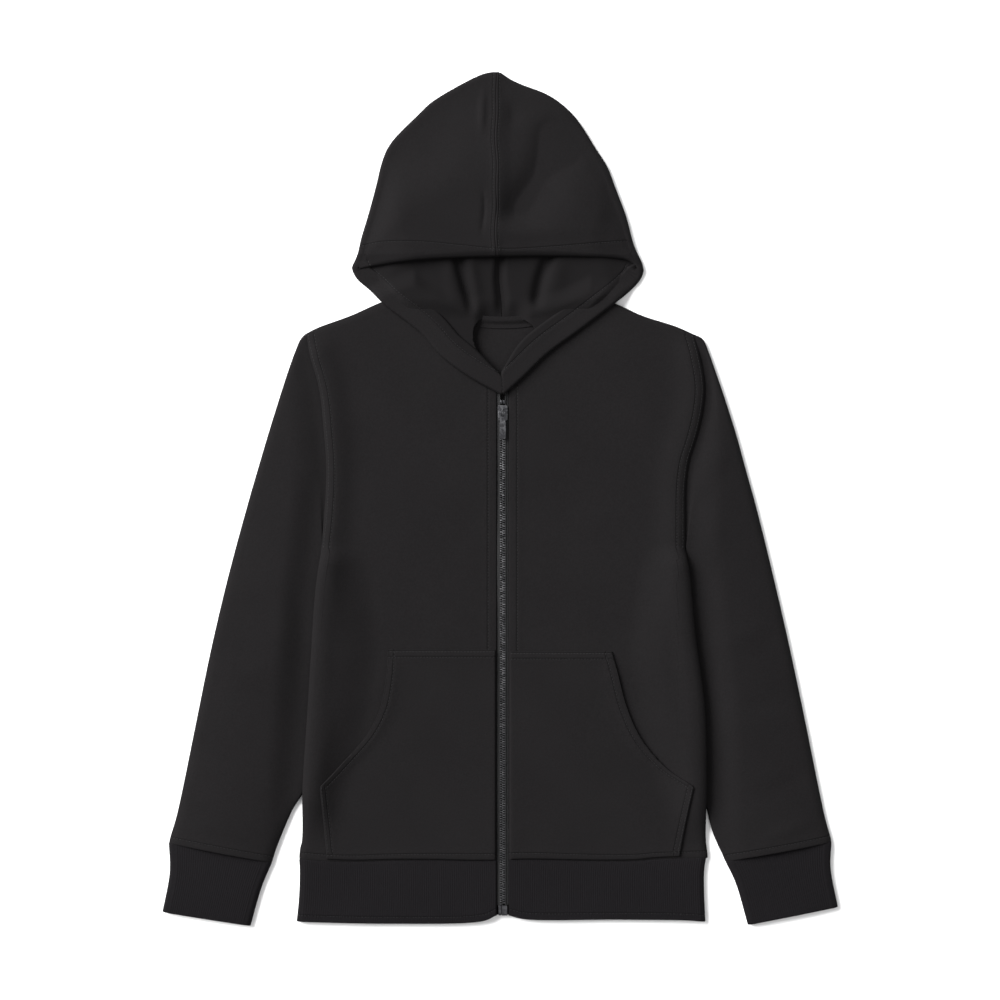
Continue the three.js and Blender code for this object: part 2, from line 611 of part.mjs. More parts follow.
// Half of the hood: its rows run from the free edge, round the outer fold, to the neck or seam.
function addHoodHalf(key, lines) {
  const isLeft = key === "left";
  const outward = isLeft ? -1 : 1;
  const seamX = BODY_CENTRE_X + outward * (REST_GAP / 2);
  const rim = along(lines.hoodRim);
  const outline = along(lines.hoodOutline);
  const crownRim = along(lines.crownRim);
  const neckX = BODY_CENTRE_X + outward * NECK_HALF_WIDTH;
  const neckEdge = evenShares(HOOD_NECK_STEPS).map((share) => {
    const x = neckX + (seamX - neckX) * share;
    return [x, backNeckY(x) + SEAM];
  });
  const frontFold = smoothLine([[seamX, HOOD_FRONT_Y], ...lines.hoodInnerFold, neckEdge[0]]);
  const inner = joinedLine(frontFold, smoothLine(neckEdge));
  const seam = straight(
    new THREE.Vector3(seamX, backNeckY(seamX) + SEAM, 0),
    new THREE.Vector3(seamX, HOOD_SEAM_TOP_Y, 0),
  );

  const rowAt = ({ fold, outwards, free, end, gap, puff }) => {
    const row = [];
    const lift = (p) => CLOTH + hoodLift(lines, isLeft, p.x, p.y);
    const bottom = fold.clone().addScaledVector(outwards, -(CLOTH + HOOD_FOLD_DEPTH));
    for (const share of evenShares(HOOD_UPPER_STEPS).slice(0, -1)) {
      const p = free.clone().lerp(bottom, share);
      const swell = puff * Math.cos((share * Math.PI) / 2);
      row.push(new THREE.Vector3(p.x, p.y, lift(p) + gap + swell));
    }
    for (const turn of HOOD_FOLD_TURNS) {
      const angle = Math.PI * (turn - 0.5);
      const p = bottom.clone().addScaledVector(outwards, HOOD_FOLD_DEPTH * Math.cos(angle));
      row.push(new THREE.Vector3(p.x, p.y, lift(bottom) + (gap / 2) * (1 + Math.sin(angle))));
    }
    for (const share of HOOD_LOWER_SHARES.slice(1)) {
      const p = bottom.clone().lerp(end, share);
      row.push(new THREE.Vector3(p.x, p.y, lift(p)));
    }
    return row;
  };

  const outwardNormal = (line, share) => {
    const step = 0.01;
    const direction = line(Math.min(1, share + step)).sub(line(Math.max(0, share - step)));
    const normal = new THREE.Vector3(-direction.y, direction.x, 0).normalize();
    return normal.multiplyScalar(isLeft ? 1 : -1);
  };

  const rows = [];
  for (const share of evenShares(RIM_STEPS).slice(0, -1)) {
    const fold = rim(share);
    const outwards = outwardNormal(rim, Math.max(share, RIM_END_SHARE));
    const { from, to, by } = RIM_TURN_SHRINKS;
    const turn = HEM_TURN * ease(...RIM_TURN_GROWS, share) * (1 - by * ease(from, to, share));
    const free = fold.clone().addScaledVector(outwards, -(turn + CLOTH + HOOD_FOLD_DEPTH));
    rows.push(rowAt({ fold, outwards, free, end: inner(share), gap: REST_GAP * 2, puff: 0 }));
  }
  for (const share of OUTLINE_SHARES) {
    const fold = outline(share);
    const outwards = outwardNormal(outline, share);
    if (share === 0) outwards.copy(outwardNormal(rim, 1)).add(outwardNormal(outline, 0)).normalize();
    if (share === 1) outwards.set(0, 1, 0);
    const puff = CROWN_PUFF * ease(...PUFF_GROWS, share);
    const gap = FOLD_GAP * ease(...GAP_GROWS, share);
    rows.push(rowAt({ fold, outwards, free: crownRim(share), end: seam(share), gap, puff }));
  }
  for (const row of rows) {
    for (const point of row) {
      const past = (point.x - seamX) * outward;
      if (past < 0) point.x = seamX;
    }
  }
  const normals = gridNormals(rows);
  const middle = rows[rows.length - 1];
  const faceUp = normals[CROWN_ROW][2].z > 0 ? 1 : -1;
  const outer = rows.map((row, i) =>
    row.map((point, j) => {
      const moved = point.clone().addScaledVector(normals[i][j], CLOTH * faceUp);
      if ((moved.x - seamX) * outward < 0 || row === middle) moved.x = seamX;
      moved.z = Math.max(0, moved.z);
      return moved;
    }),
  );
  addPiece(`hood_${key}`, wallBetween(rows, outer), "fleece");
}

// A box between two corners.
function block(x0, x1, y0, y1, z0, z1) {
  const geometry = new THREE.BoxGeometry(x1 - x0, y1 - y0, z1 - z0);
  geometry.translate((x0 + x1) / 2, (y0 + y1) / 2, (z0 + z1) / 2);
  return geometry;
}

// A plate with rounded corners in plan.
function roundedPlate(width, y0, y1, z0, z1, radius, x = ZIP_X) {
  const half = width / 2;
  const shape = new THREE.Shape();
  shape.moveTo(-half + radius, y0);
  shape.lineTo(half - radius, y0);
  shape.absarc(half - radius, y0 + radius, radius, -Math.PI / 2, 0, false);
  shape.lineTo(half, y1 - radius);
  shape.absarc(half - radius, y1 - radius, radius, 0, Math.PI / 2, false);
  shape.lineTo(-half + radius, y1);
  shape.absarc(-half + radius, y1 - radius, radius, Math.PI / 2, Math.PI, false);
  shape.lineTo(-half, y0 + radius);
  shape.absarc(-half + radius, y0 + radius, radius, Math.PI, Math.PI * 1.5, false);
  const geometry = new THREE.ExtrudeGeometry(shape, {
    depth: z1 - z0, bevelEnabled: false, curveSegments: 4,
  });
  geometry.translate(x, 0, z0);
  return geometry;
}

// Numbers in the zip's tables are offsets from the slider's middle, or from the chain's faces.
function addZip() {
  const chainTop = SLIDER_Y + POST.from;
  const chainHalf = CHAIN_WIDTH / 2;
  const chainFace = CHAIN_Z + CHAIN_THICK;
  const tapeInner = chainHalf + REST_GAP;
  const tapeOuter = ZIP_SLOT / 2 - REST_GAP;
  const tapeZ = CHAIN_Z + (CHAIN_THICK - TAPE_THICK) / 2;
  const tapeTop = ZIP_TOP_Y + TAPE_ABOVE;
  const endY = ZIP_BOTTOM_Y + ZIP_END_LENGTH;
  const stopY = SLIDER_Y + STOP.above;
  for (const [key, way] of [["left", -1], ["right", 1]]) {
    const xs = [ZIP_X + way * tapeInner, ZIP_X + way * tapeOuter].sort((a, b) => a - b);
    const tape = block(xs[0], xs[1], endY + REST_GAP, tapeTop, tapeZ, tapeZ + TAPE_THICK);
    addPiece(`zip_tape_${key}`, tape, "tape");
    const stops = [ZIP_X + way * STOP.middleGap, ZIP_X + way * chainHalf].sort((a, b) => a - b);
    const stop = block(
      stops[0], stops[1], stopY, stopY + STOP.length, CHAIN_Z - STOP.sink, chainFace + STOP.stand,
    );
    addPiece(`zip_stop_${key}`, stop, "metal");
  }
  const chain = block(
    ZIP_X - chainHalf, ZIP_X + chainHalf, endY + REST_GAP, chainTop - REST_GAP, CHAIN_Z, chainFace,
  );
  addPiece("zip_chain", chain, "metal");
  for (const [name, end] of [["zip_box", ZIP_BOX], ["zip_pin", ZIP_PIN]]) {
    const low = CHAIN_Z - end.sink;
    const high = chainFace + end.stand;
    const plate = roundedPlate(end.width, ZIP_BOTTOM_Y, endY, low, high, end.round, ZIP_X + end.x);
    addPiece(name, plate, "metal");
  }

  const plateBottom = CHAIN_Z - REST_GAP;
  const plateTop = chainFace + REST_GAP;
  const sliderTop = plateTop + PLATE.upper;
  const from = SLIDER_Y - PLATE.below;
  const to = SLIDER_Y + PLATE.above;
  const lower = roundedPlate(PLATE.width, from, to, plateBottom - PLATE.lower, plateBottom, PLATE.round);
  const upper = roundedPlate(PLATE.width, from, to, plateTop, sliderTop, PLATE.round);
  const post = block(
    ZIP_X - POST.half, ZIP_X + POST.half, chainTop, SLIDER_Y + POST.to,
    plateBottom - POST.overlap, plateTop + POST.overlap,
  );
  const bailTop = sliderTop + BAIL.rise;
  const bail = block(
    ZIP_X - BAIL.half, ZIP_X + BAIL.half, SLIDER_Y - BAIL.length, SLIDER_Y + BAIL.length,
    plateTop + BAIL.root, bailTop,
  );
  const { half, length, roof } = BAIL_WINDOW;
  const window = block(
    ZIP_X - half, ZIP_X + half, SLIDER_Y - length, SLIDER_Y + length, sliderTop, bailTop - roof,
  );
  const arch = solidFrom(bail).subtract(solidFrom(window));
  const slider = solidFrom(upper).add(solidFrom(lower)).add(solidFrom(post)).add(arch);
  addPiece("zip_slider", geometryFrom(slider), "metal");

  const tabMiddle = sliderTop + TAB.above;
  const tabLow = tabMiddle - TAB.thick / 2;
  const tabHigh = tabMiddle + TAB.thick / 2;
  const spanOf = ({ from: start, to: stop }) => [SLIDER_Y + start, SLIDER_Y + stop];
  const neck = roundedPlate(TAB_NECK.width, ...spanOf(TAB_NECK), tabLow, tabHigh, TAB_NECK.round);
  const blade = roundedPlate(TAB_BLADE.width, ...spanOf(TAB_BLADE), tabLow, tabHigh, TAB.round);
  const slot = block(
    ZIP_X - TAB_SLOT.half, ZIP_X + TAB_SLOT.half, ...spanOf(TAB_SLOT),
    tabLow - TAB.thick, tabHigh + TAB.thick,
  );
  const tab = solidFrom(neck).add(solidFrom(blade)).subtract(solidFrom(slot));
  addPiece("zip_pull_tab", geometryFrom(tab), "metal");
}

addBack();
const frontUnders = addFronts();
addPockets(frontUnders);
addHem();
addSleevesAndCuffs();
addHoodHalf("left", SIDE_LINES.left);
addHoodHalf("right", SIDE_LINES.right);
addZip();

export default hoodie;
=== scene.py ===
"""A black zip up hoodie laid flat on a pale surface with its front up, seen from straight above."""

import math

import bpy
import numpy as np
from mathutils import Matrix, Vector
from mathutils.bvhtree import BVHTree


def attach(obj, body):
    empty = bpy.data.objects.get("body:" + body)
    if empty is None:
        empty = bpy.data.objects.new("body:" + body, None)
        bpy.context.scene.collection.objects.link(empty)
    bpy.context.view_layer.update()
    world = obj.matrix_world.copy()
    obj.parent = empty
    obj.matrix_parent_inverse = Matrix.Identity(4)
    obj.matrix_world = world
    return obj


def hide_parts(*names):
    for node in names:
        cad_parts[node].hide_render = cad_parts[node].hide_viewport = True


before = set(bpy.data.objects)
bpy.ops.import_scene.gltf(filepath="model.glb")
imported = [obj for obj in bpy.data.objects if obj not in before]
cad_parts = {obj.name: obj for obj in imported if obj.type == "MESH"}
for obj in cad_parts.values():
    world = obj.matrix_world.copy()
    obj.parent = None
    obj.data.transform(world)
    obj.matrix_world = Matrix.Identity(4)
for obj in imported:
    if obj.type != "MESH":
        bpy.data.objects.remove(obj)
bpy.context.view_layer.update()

MM = 0.001

# Cloth, gaps and layers, in millimetres as in the CAD model.
CLOTH = 2.2
RIB = 2.4
SEAM = 0.6
LAYER_GAP = 0.5
REST_GAP = 0.3
RISE = 2.1
FRONT_TOP = 2 * CLOTH + LAYER_GAP + RISE

# Body.
HEM_SEAM_Y = -391
BODY_CENTRE_X = 2.5
EDGE_ROLL = 8
SIDE_PUFF = 3.8
TOPSTITCH = 7.2
FACING = 9.4

# Where the body's sides lie on the sleeves.
LIFT = 7.4
LIFT_RUN_ACROSS = 46
LIFT_RUN_ALONG = 20
LIFT_MARGIN = 5
ARMPIT_Y = -54
SLEEVE_LEAVES_Y = -322
LIFT_END_Y = -374

# Sleeves and cuffs.
SLEEVE_HEIGHT = FRONT_TOP
SLEEVE_FOLD = 9
SLEEVE_CROWN = 5.5
SLEEVE_LENGTH = 600
CUFF_FOLD = 7

# Zip.
ZIP_X = 3
ZIP_SLOT = 13.2
ZIP_TOP_Y = 112
ZIP_BOTTOM_Y = -457
CHAIN_Z = 4.4
CHAIN_THICK = 2
SLIDER_Y = 95

# Hood.
HEM_TURN = 22
FOLD_GAP = 2.6
CROWN_PUFF = 10
HOOD_FOLD_DEPTH = 4
RIM_ROWS = 75
OUTLINE_ROWS = 110
CROWN_COLUMNS = 52

# Each cloth vertex carries its distance from up to four sewn lines.
SEAM_LETTERS = "abcd"

# Size of a grid's cells.
CELL = 3.4
RIB_CELL = 0.6
BODY_STEPS = 168

# Which way is outwards on each side, and a distance beyond all seams.
OUTWARDS = {"left": -1, "right": 1}
FAR = 99.0

# Outlines, one row a point: x, y.
SIDE_LINES = {
    "left": {
        "sleeveOuter": [
            (-213, 181), (-217.7, 176), (-223.5, 163), (-233, 136.4), (-241.5, 110), (-253.8, 70.4),
            (-265.5, 30.8), (-276.9, -8.8), (-298.2, -88), (-316.8, -167.2), (-333, -246.4),
            (-349.1, -325.6), (-355.2, -352), (-361.5, -373), (-362.5, -378),
        ],
        "sleeveInner": [
            (-196.5, -54), (-197.5, -70), (-192, -92), (-186, -124), (-183, -172), (-190, -227),
            (-203, -282), (-217, -322), (-227.8, -338.8), (-234, -352), (-239.6, -365.2),
            (-244.9, -378.4), (-249.4, -391.6), (-251.6, -399),
        ],
        "armhole": [
            (-213, 181), (-208, 157), (-198, 121), (-192.5, 71), (-190, 32), (-192, -14), (-196, -54),
        ],
        "side": [
            (-221, -391), (-220.7, -384), (-219.1, -378.4), (-217.5, -365), (-216.7, -318),
            (-212, -243), (-207, -164), (-202.5, -100), (-196, -54),
        ],
        "shoulder": [(-213, 181), (-200, 187.6), (-163, 201.2), (-133.4, 214.4), (-93.5, 229)],
        "neckline": [(-93.5, 229), (-78, 190), (-46, 153), (-4, 125)],
        "cuffOuter": [(-361.5, -410), (-369.5, -453.8)],
        "cuffInner": [(-263, -425), (-275.6, -468.6)],
        "hemSide": [(-219.5, -391.6), (-218.8, -404), (-219.6, -436), (-222.2, -464)],
        "hemBottom": [(-222.2, -464), (-120, -466), (-18, -463), (-4.5, -457)],
        "pocket": [
            (-123, -166), (-124.5, -192), (-131, -228), (-145, -257), (-177, -294), (-197, -315),
        ],
        "pocketSide": [(-197, -315), (-190, -388)],
        "hoodRim": [
            (1.5, 114), (-33, 133), (-64, 156), (-87, 181.5), (-127, 213), (-142.5, 228.8),
            (-157.5, 242), (-163, 252),
        ],
        "hoodInnerFold": [(-24, 161), (-29, 178), (-28, 188)],
        "hoodOutline": [
            (-163, 254), (-156.5, 269.5), (-152.9, 285), (-144.1, 314.6), (-135.3, 347.6),
            (-130.9, 366.3), (-125.4, 381.7), (-119.2, 392), (-108.9, 403.7), (-93, 419.1),
            (-77, 434.5), (-63.8, 443.3), (-41.8, 455.4), (-24, 463.5), (-9, 468.6), (2.5, 469.2),
        ],
        "crownRim": [(-155, 254), (-131, 259.5), (-86, 265), (-42, 267.3), (2.2, 268.4)],
    },
    "right": {
        "sleeveOuter": [
            (213, 180), (222, 175), (227.5, 162.8), (236.9, 136.4), (245.9, 110), (258.4, 70.4),
            (269.3, 30.8), (280.3, -8.8), (299.8, -88), (317.9, -167.2), (334.6, -246.4),
            (350.6, -325.6), (356.4, -352), (362.3, -373), (363, -377),
        ],
        "sleeveInner": [
            (203.5, -54), (204.5, -70), (199, -92), (193, -124), (189, -172), (198, -227), (213, -287),
            (226.6, -335), (234, -364), (240.5, -380), (245, -389.5), (248.6, -398),
        ],
        "armhole": [
            (213, 180), (219, 156), (224, 124), (222, 98), (215.5, 69), (207, 41), (203.5, 12),
            (203, -25), (203, -54),
        ],
        "side": [
            (228.7, -391), (228.3, -385), (227.2, -378.4), (226.4, -368), (226.5, -345),
            (226.6, -277), (224.4, -224), (214, -144), (208, -80), (203, -54),
        ],
        "shoulder": [(213, 180), (194, 188.6), (155, 201.2), (126, 214.2), (99, 222)],
        "neckline": [(99, 222), (80, 190), (45, 163), (10, 125)],
        "cuffOuter": [(362, -405), (370, -448.3)],
        "cuffInner": [(260, -421), (273.6, -467.6)],
        "hemSide": [(225.5, -391.6), (223.4, -404), (223.2, -430), (224.6, -464)],
        "hemBottom": [(224.6, -464), (205, -462.5), (130, -461.5), (26, -461), (10.5, -457)],
        "pocket": [(123, -168), (129, -190), (139, -228), (155, -263), (183, -295), (212, -314)],
        "pocketSide": [(212, -314), (197, -388)],
        "hoodRim": [
            (4.5, 114), (26, 133.5), (52, 158.5), (90, 186.5), (125, 213.5), (143.2, 228.8),
            (154.9, 242), (158, 250),
        ],
        "hoodInnerFold": [(31, 161), (38, 178), (37, 188)],
        "hoodOutline": [
            (157.9, 251), (156.2, 258.5), (147.4, 278.3), (138.6, 310.2), (127.1, 341),
            (117.7, 365.2), (104.5, 386.1), (89.1, 410.9), (78.1, 424.6), (61.6, 438.9),
            (48.4, 446.6), (26.4, 455.4), (14, 461.5), (6, 466.8), (2.5, 469.2),
        ],
        "crownRim": [(150, 258), (138.5, 265), (93.5, 268.4), (48.5, 269), (2.8, 268.4)],
    },
}

# The back's neck edge, a shallow dip between the high points of the shoulders.
BACK_NECK = {"left": (-93.5, 229), "right": (99, 222), "middle_y": 194.7, "power": 2.2}

# How far the hem seam lies from its line in the CAD model: x, offset.
HEM_WAVE_REACH = 34
HEM_WAVE = [
    (-222, -4.3), (-192, -6.7), (-160, -7.5), (-115, -6.1), (-71, -5.6), (-27, -6.0), (27, -4.6),
    (50, -5.0), (82, -6.1), (115, -6.8), (148, -6.7), (170, -4.8), (198, -3.9), (228, -3.2),
]

# Soft folds: line in millimetres, half widths on its right and left hand, height (minus is a
# trough), share of the length over which each end fades out.
FOLDS = {
    "crown_left": [
        ([(-8, 458), (-14, 432), (-12, 396)], (4, 4), 2.0, 0.4),
        ([(-13, 345), (-11, 312), (-14, 282)], (3.5, 3), -1.5, 0.4),
        ([(-60, 420), (-72, 380), (-70, 330)], (22, 22), -1.3, 0.5),
        ([(-122, 350), (-112, 318), (-118, 282)], (14, 14), 0.6, 0.5),
    ],
    "crown_right": [
        ([(14, 462), (14, 360), (12, 270)], (12, 110), 3.4, 0.15),
        ([(70, 425), (62, 402), (46, 353), (27, 318), (17, 288)], (17, 32), -8.5, 0.2),
        ([(14, 462), (19, 420), (19, 360), (16, 285)], (13, 28), -3.6, 0.25),
        ([(16, 446), (20, 425), (19, 402)], (6, 9), -1.4, 0.45),
        ([(112, 318), (122, 298), (134, 284)], (12, 12), -1.0, 0.5),
        ([(96, 374), (76, 368), (60, 366)], (8, 8), -0.7, 0.5),
    ],
}


def ease(a, b, value):
    """0 below a, 1 above b, with a soft start and end."""
    t = np.clip((np.asarray(value, float) - a) / (b - a), 0, 1)
    return t * t * (3 - 2 * t)


def smooth(rows):
    """Closely spaced points on a smooth line through the rows."""
    rows = np.array(rows, float)
    if len(rows) < 3:
        return np.linspace(rows[0], rows[-1], 40)
    fenced = np.vstack([2 * rows[0] - rows[1], rows, 2 * rows[-1] - rows[-2]])
    parts = []
    for four in zip(fenced, fenced[1:], fenced[2:], fenced[3:]):
        gaps = [max(np.linalg.norm(b - a) ** 0.5, 1e-4) for a, b in zip(four, four[1:])]
        knot = np.concatenate([[0], np.cumsum(gaps)])
        t = np.linspace(knot[1], knot[2], 24, endpoint=False)[:, None]

        def mix(a, b, i, j):
            return ((knot[j] - t) * a + (t - knot[i]) * b) / (knot[j] - knot[i])

        low, middle, high = (mix(four[i], four[i + 1], i, i + 1) for i in range(3))
        parts.append(mix(mix(low, middle, 0, 2), mix(middle, high, 1, 3), 1, 2))
    return np.vstack([*parts, rows[-1:]])


class Line:
    """Lines end to end, read by their share of the whole length."""

    def __init__(self, *parts):
        self.points = np.vstack(parts)
        steps = np.linalg.norm(np.diff(self.points, axis=0), axis=1)
        self.length = steps.sum()
        self.shares = np.concatenate([[0], np.cumsum(steps)]) / self.length

    def __call__(self, share):
        share = np.clip(share, 0, 1)
        return np.stack([np.interp(share, self.shares, c) for c in self.points.T], axis=-1)


def through(rows):
    return Line(smooth(rows))


def straight(a, b):
    return Line(np.array([a, b], float))


def x_at(rows, y):
    """The x of a side line at the height y."""
    rows = np.array(rows, float)
    order = np.argsort(rows[:, 1], kind="stable")
    return np.interp(y, rows[order, 1], rows[order, 0])


def y_at(rows, x):
    return x_at([(b, a) for a, b in rows], x)


def fill(bottom, top, left, right, across, up):
    """A grid of plan points that fills the four lines around it."""
    u = np.asarray(across, float)[None, :, None]
    v = np.asarray(up, float)[:, None, None]
    low, high = bottom(across)[None], top(across)[None]
    sides = left(up)[:, None] * (1 - u) + right(up)[:, None] * u
    corners = (1 - v) * ((1 - u) * low[:, :1] + u * low[:, -1:])
    corners = corners + v * ((1 - u) * high[:, :1] + u * high[:, -1:])
    return sides + low * (1 - v) + high * v - corners


def rolled_shares(length, start=0, stop=0, cell=CELL, steps=None):
    """Shares along a length: evenly spaced, and closer over the rolls at its two ends."""
    turns = np.radians([0, 22, 42, 60, 76])
    parts = [np.array([0.0])]
    if start:
        parts = [start * (1 - np.cos(turns))]
    steps = steps or max(3, round((length - start - stop) / cell))
    middle = np.linspace(start, length - stop, steps + 1)
    parts.append(middle if start else middle[1:])
    if stop:
        parts.append(length - stop * (1 - np.cos(turns[::-1])))
    return np.concatenate(parts) / length


def roll(distance, radius, drop):
    """How far a surface has dropped at a distance from its rolled edge."""
    t = np.clip(np.asarray(distance) / radius, 0, 1)
    return drop * (1 - np.sqrt(np.maximum(0, 1 - (1 - t) ** 2)))


def offset_from(line, xy):
    """Signed distance of plan points from a line, and their share of the way along it."""
    line = np.asarray(line, float)
    flat = np.asarray(xy, float).reshape(-1, 2)
    best = np.full(len(flat), 1e9)
    signed = np.full(len(flat), 1e9)
    share = np.zeros(len(flat))
    steps = np.diff(line, axis=0)
    lengths = np.maximum(np.linalg.norm(steps, axis=1), 1e-9)
    starts = np.concatenate([[0], np.cumsum(lengths)])
    for a, step, length, start in zip(line, steps, lengths, starts):
        way = step / length
        gap = flat - a
        t = np.clip(gap @ way, 0, length)
        away = gap - t[:, None] * way
        distance = np.linalg.norm(away, axis=1)
        closer = distance < best
        best[closer] = distance[closer]
        turn = way[0] * gap[:, 1] - way[1] * gap[:, 0]
        signed[closer] = (np.sign(turn) * distance)[closer]
        share[closer] = ((start + t) / starts[-1])[closer]
    shape = np.shape(xy)[:-1]
    return signed.reshape(shape), share.reshape(shape)


def folds(table, x, y):
    """Height of a table of soft folds at plan points."""
    xy = np.stack([x, y], axis=-1)
    total = np.zeros(np.shape(x))
    for rows, (right, left), height, fade in table:
        distance, share = offset_from(smooth(rows)[::4], xy)
        ends = ease(0, fade, share) * ease(0, fade, 1 - share)
        width = np.where(distance > 0, left, right)
        total = total + height * ends * np.exp(-((distance / width) ** 2))
    return total


def swell(x, y, seed, height, length):
    """Low uneven waves of a cloth that doesn't lie dead flat."""
    total = np.zeros(np.shape(x))
    for k in range(5):
        angle = 2.4 * k + seed
        size = length * (1 + 0.37 * ((k * 2 + seed) % 3))
        along = x * math.cos(angle) + y * math.sin(angle)
        total = total + np.sin(along * 2 * math.pi / size + 1.7 * k + seed)
    return total * height / 5


def gaps_from(plan, edge):
    """Distances of a grid's points from one of its own edges."""
    return np.linalg.norm(plan - edge, axis=-1)


def from_side(side, x, y):
    """How far plan points lie inside the body's edge."""
    lines = SIDE_LINES[side]
    edge = np.where(y > ARMPIT_Y, x_at(lines["armhole"], y), x_at(lines["side"], y))
    return OUTWARDS[side] * (edge - x)


def body_lift(side, x, y):
    """Height of the body's underside, which climbs over the sleeves at both sides."""
    lines = SIDE_LINES[side]
    along = 1 - ease(ARMPIT_Y - LIFT_RUN_ALONG, ARMPIT_Y + 6, y)
    along = along * ease(LIFT_END_Y, SLEEVE_LEAVES_Y, y)
    sleeve, edge = x_at(lines["sleeveInner"], y), x_at(lines["side"], y)
    tuck = np.maximum(0, OUTWARDS[side] * (edge - sleeve)) + LIFT_MARGIN
    across = ease(0, LIFT_RUN_ACROSS, from_side(side, x, y) - tuck)
    return LIFT * along * (1 - across)


def back_neck_y(x):
    x = np.asarray(x, float)
    ends = np.where(x < BODY_CENTRE_X, BACK_NECK["left"][0], BACK_NECK["right"][0])
    high = np.where(x < BODY_CENTRE_X, BACK_NECK["left"][1], BACK_NECK["right"][1])
    share = np.clip((x - BODY_CENTRE_X) / (ends - BODY_CENTRE_X), 0, 1)
    return BACK_NECK["middle_y"] + (high - BACK_NECK["middle_y"]) * share ** BACK_NECK["power"]


def with_rims(grid, half, is_tube):
    """Adds rows close to each open rim, and gives how thick the wall is there."""
    turns = np.radians([0, 28, 58])
    inwards, share = 1 - np.cos(turns), np.sin(turns)

    def both_ends(points):
        first, last = points[1] - points[0], points[-2] - points[-1]
        first = first / np.maximum(np.linalg.norm(first, axis=-1, keepdims=True), 1e-9)
        last = last / np.maximum(np.linalg.norm(last, axis=-1, keepdims=True), 1e-9)
        start = [points[0] + first * half * k for k in [*inwards, 1]]
        stop = [points[-1] + last * half * k for k in [1, *inwards[::-1]]]
        weight = np.concatenate([share, np.ones(len(points)), share[::-1]])
        return np.concatenate([start, points[1:-1], stop]), weight

    grid, rows = both_ends(grid)
    columns = np.ones(grid.shape[1])
    if not is_tube:
        turned, columns = both_ends(grid.swapaxes(0, 1))
        grid = turned.swapaxes(0, 1)
    return grid, half * np.outer(rows, columns)


def grid_normals(grid, is_tube):
    down = np.gradient(grid, axis=0)
    if is_tube:
        over = np.roll(grid, -1, axis=1) - np.roll(grid, 1, axis=1)
    else:
        over = np.gradient(grid, axis=1)
    normal = np.cross(over, down)
    return normal / np.maximum(np.linalg.norm(normal, axis=-1, keepdims=True), 1e-9)


def mesh_piece(name, points, faces):
    mesh = bpy.data.meshes.new(name)
    mesh.from_pydata((np.asarray(points) * MM).tolist(), [], faces)
    mesh.update()
    mesh.shade_smooth()
    piece = bpy.data.objects.new(name, mesh)
    bpy.context.scene.collection.objects.link(piece)
    return piece


def shell(name, middle, thick, is_tube=False, seams=(), relief=None, floor=0.0):
    """A closed wall of cloth round a grid of middle points, with rounded rims.

    Each vertex carries its signed distance from each of the plan lines in seams, for the
    material's stitch grooves.
    """
    grid, half = with_rims(np.asarray(middle, float), thick / 2, is_tube)
    normal = grid_normals(grid, is_tube)
    side = np.sign(grid[..., 2] - grid[..., 2].mean()) if is_tube else 1
    if (normal[..., 2] * side).sum() < 0:
        grid, normal = grid[:, ::-1], -normal[:, ::-1]
    rows, columns = half.shape
    outer = grid + normal * half[..., None]
    if relief is not None:
        outer = outer + normal * relief(grid, half)[..., None]
    inner = grid - normal * half[..., None]
    index = np.arange(rows * columns).reshape(rows, columns)
    under = np.where(half < 1e-9, index, index + rows * columns)
    faces = []
    steps = columns if is_tube else columns - 1
    for i in range(rows - 1):
        for j in range(steps):
            k = (j + 1) % columns
            faces.append((index[i, j], index[i, k], index[i + 1, k], index[i + 1, j]))
            faces.append((under[i, j], under[i + 1, j], under[i + 1, k], under[i, k]))
    points = np.concatenate([outer.reshape(-1, 3), inner.reshape(-1, 3)])
    points[:, 2] = np.maximum(points[:, 2], floor)
    used = np.unique(np.array(faces))
    number = np.zeros(len(points), int)
    number[used] = np.arange(len(used))
    points = points[used]
    faces = number[np.array(faces)].tolist()
    piece = mesh_piece(name, points, faces)
    for k, letter in enumerate(SEAM_LETTERS):
        values = np.full(len(points), FAR)
        if k < len(seams):
            values = offset_from(seams[k], points[:, :2])[0]
        layer = piece.data.attributes.new(f"seam_{letter}", "FLOAT", "POINT")
        layer.data.foreach_set("value", values.astype(np.float32))
    return piece


def surface_of(piece):
    """Finds the highest point of a piece under a plan point, in millimetres, and its normal."""
    points = [v.co / MM for v in piece.data.vertices]
    tree = BVHTree.FromPolygons(points, [list(p.vertices) for p in piece.data.polygons])

    def find(x, y):
        return tree.ray_cast(Vector((x, y, 80)), Vector((0, 0, -1)))[:2]

    return find


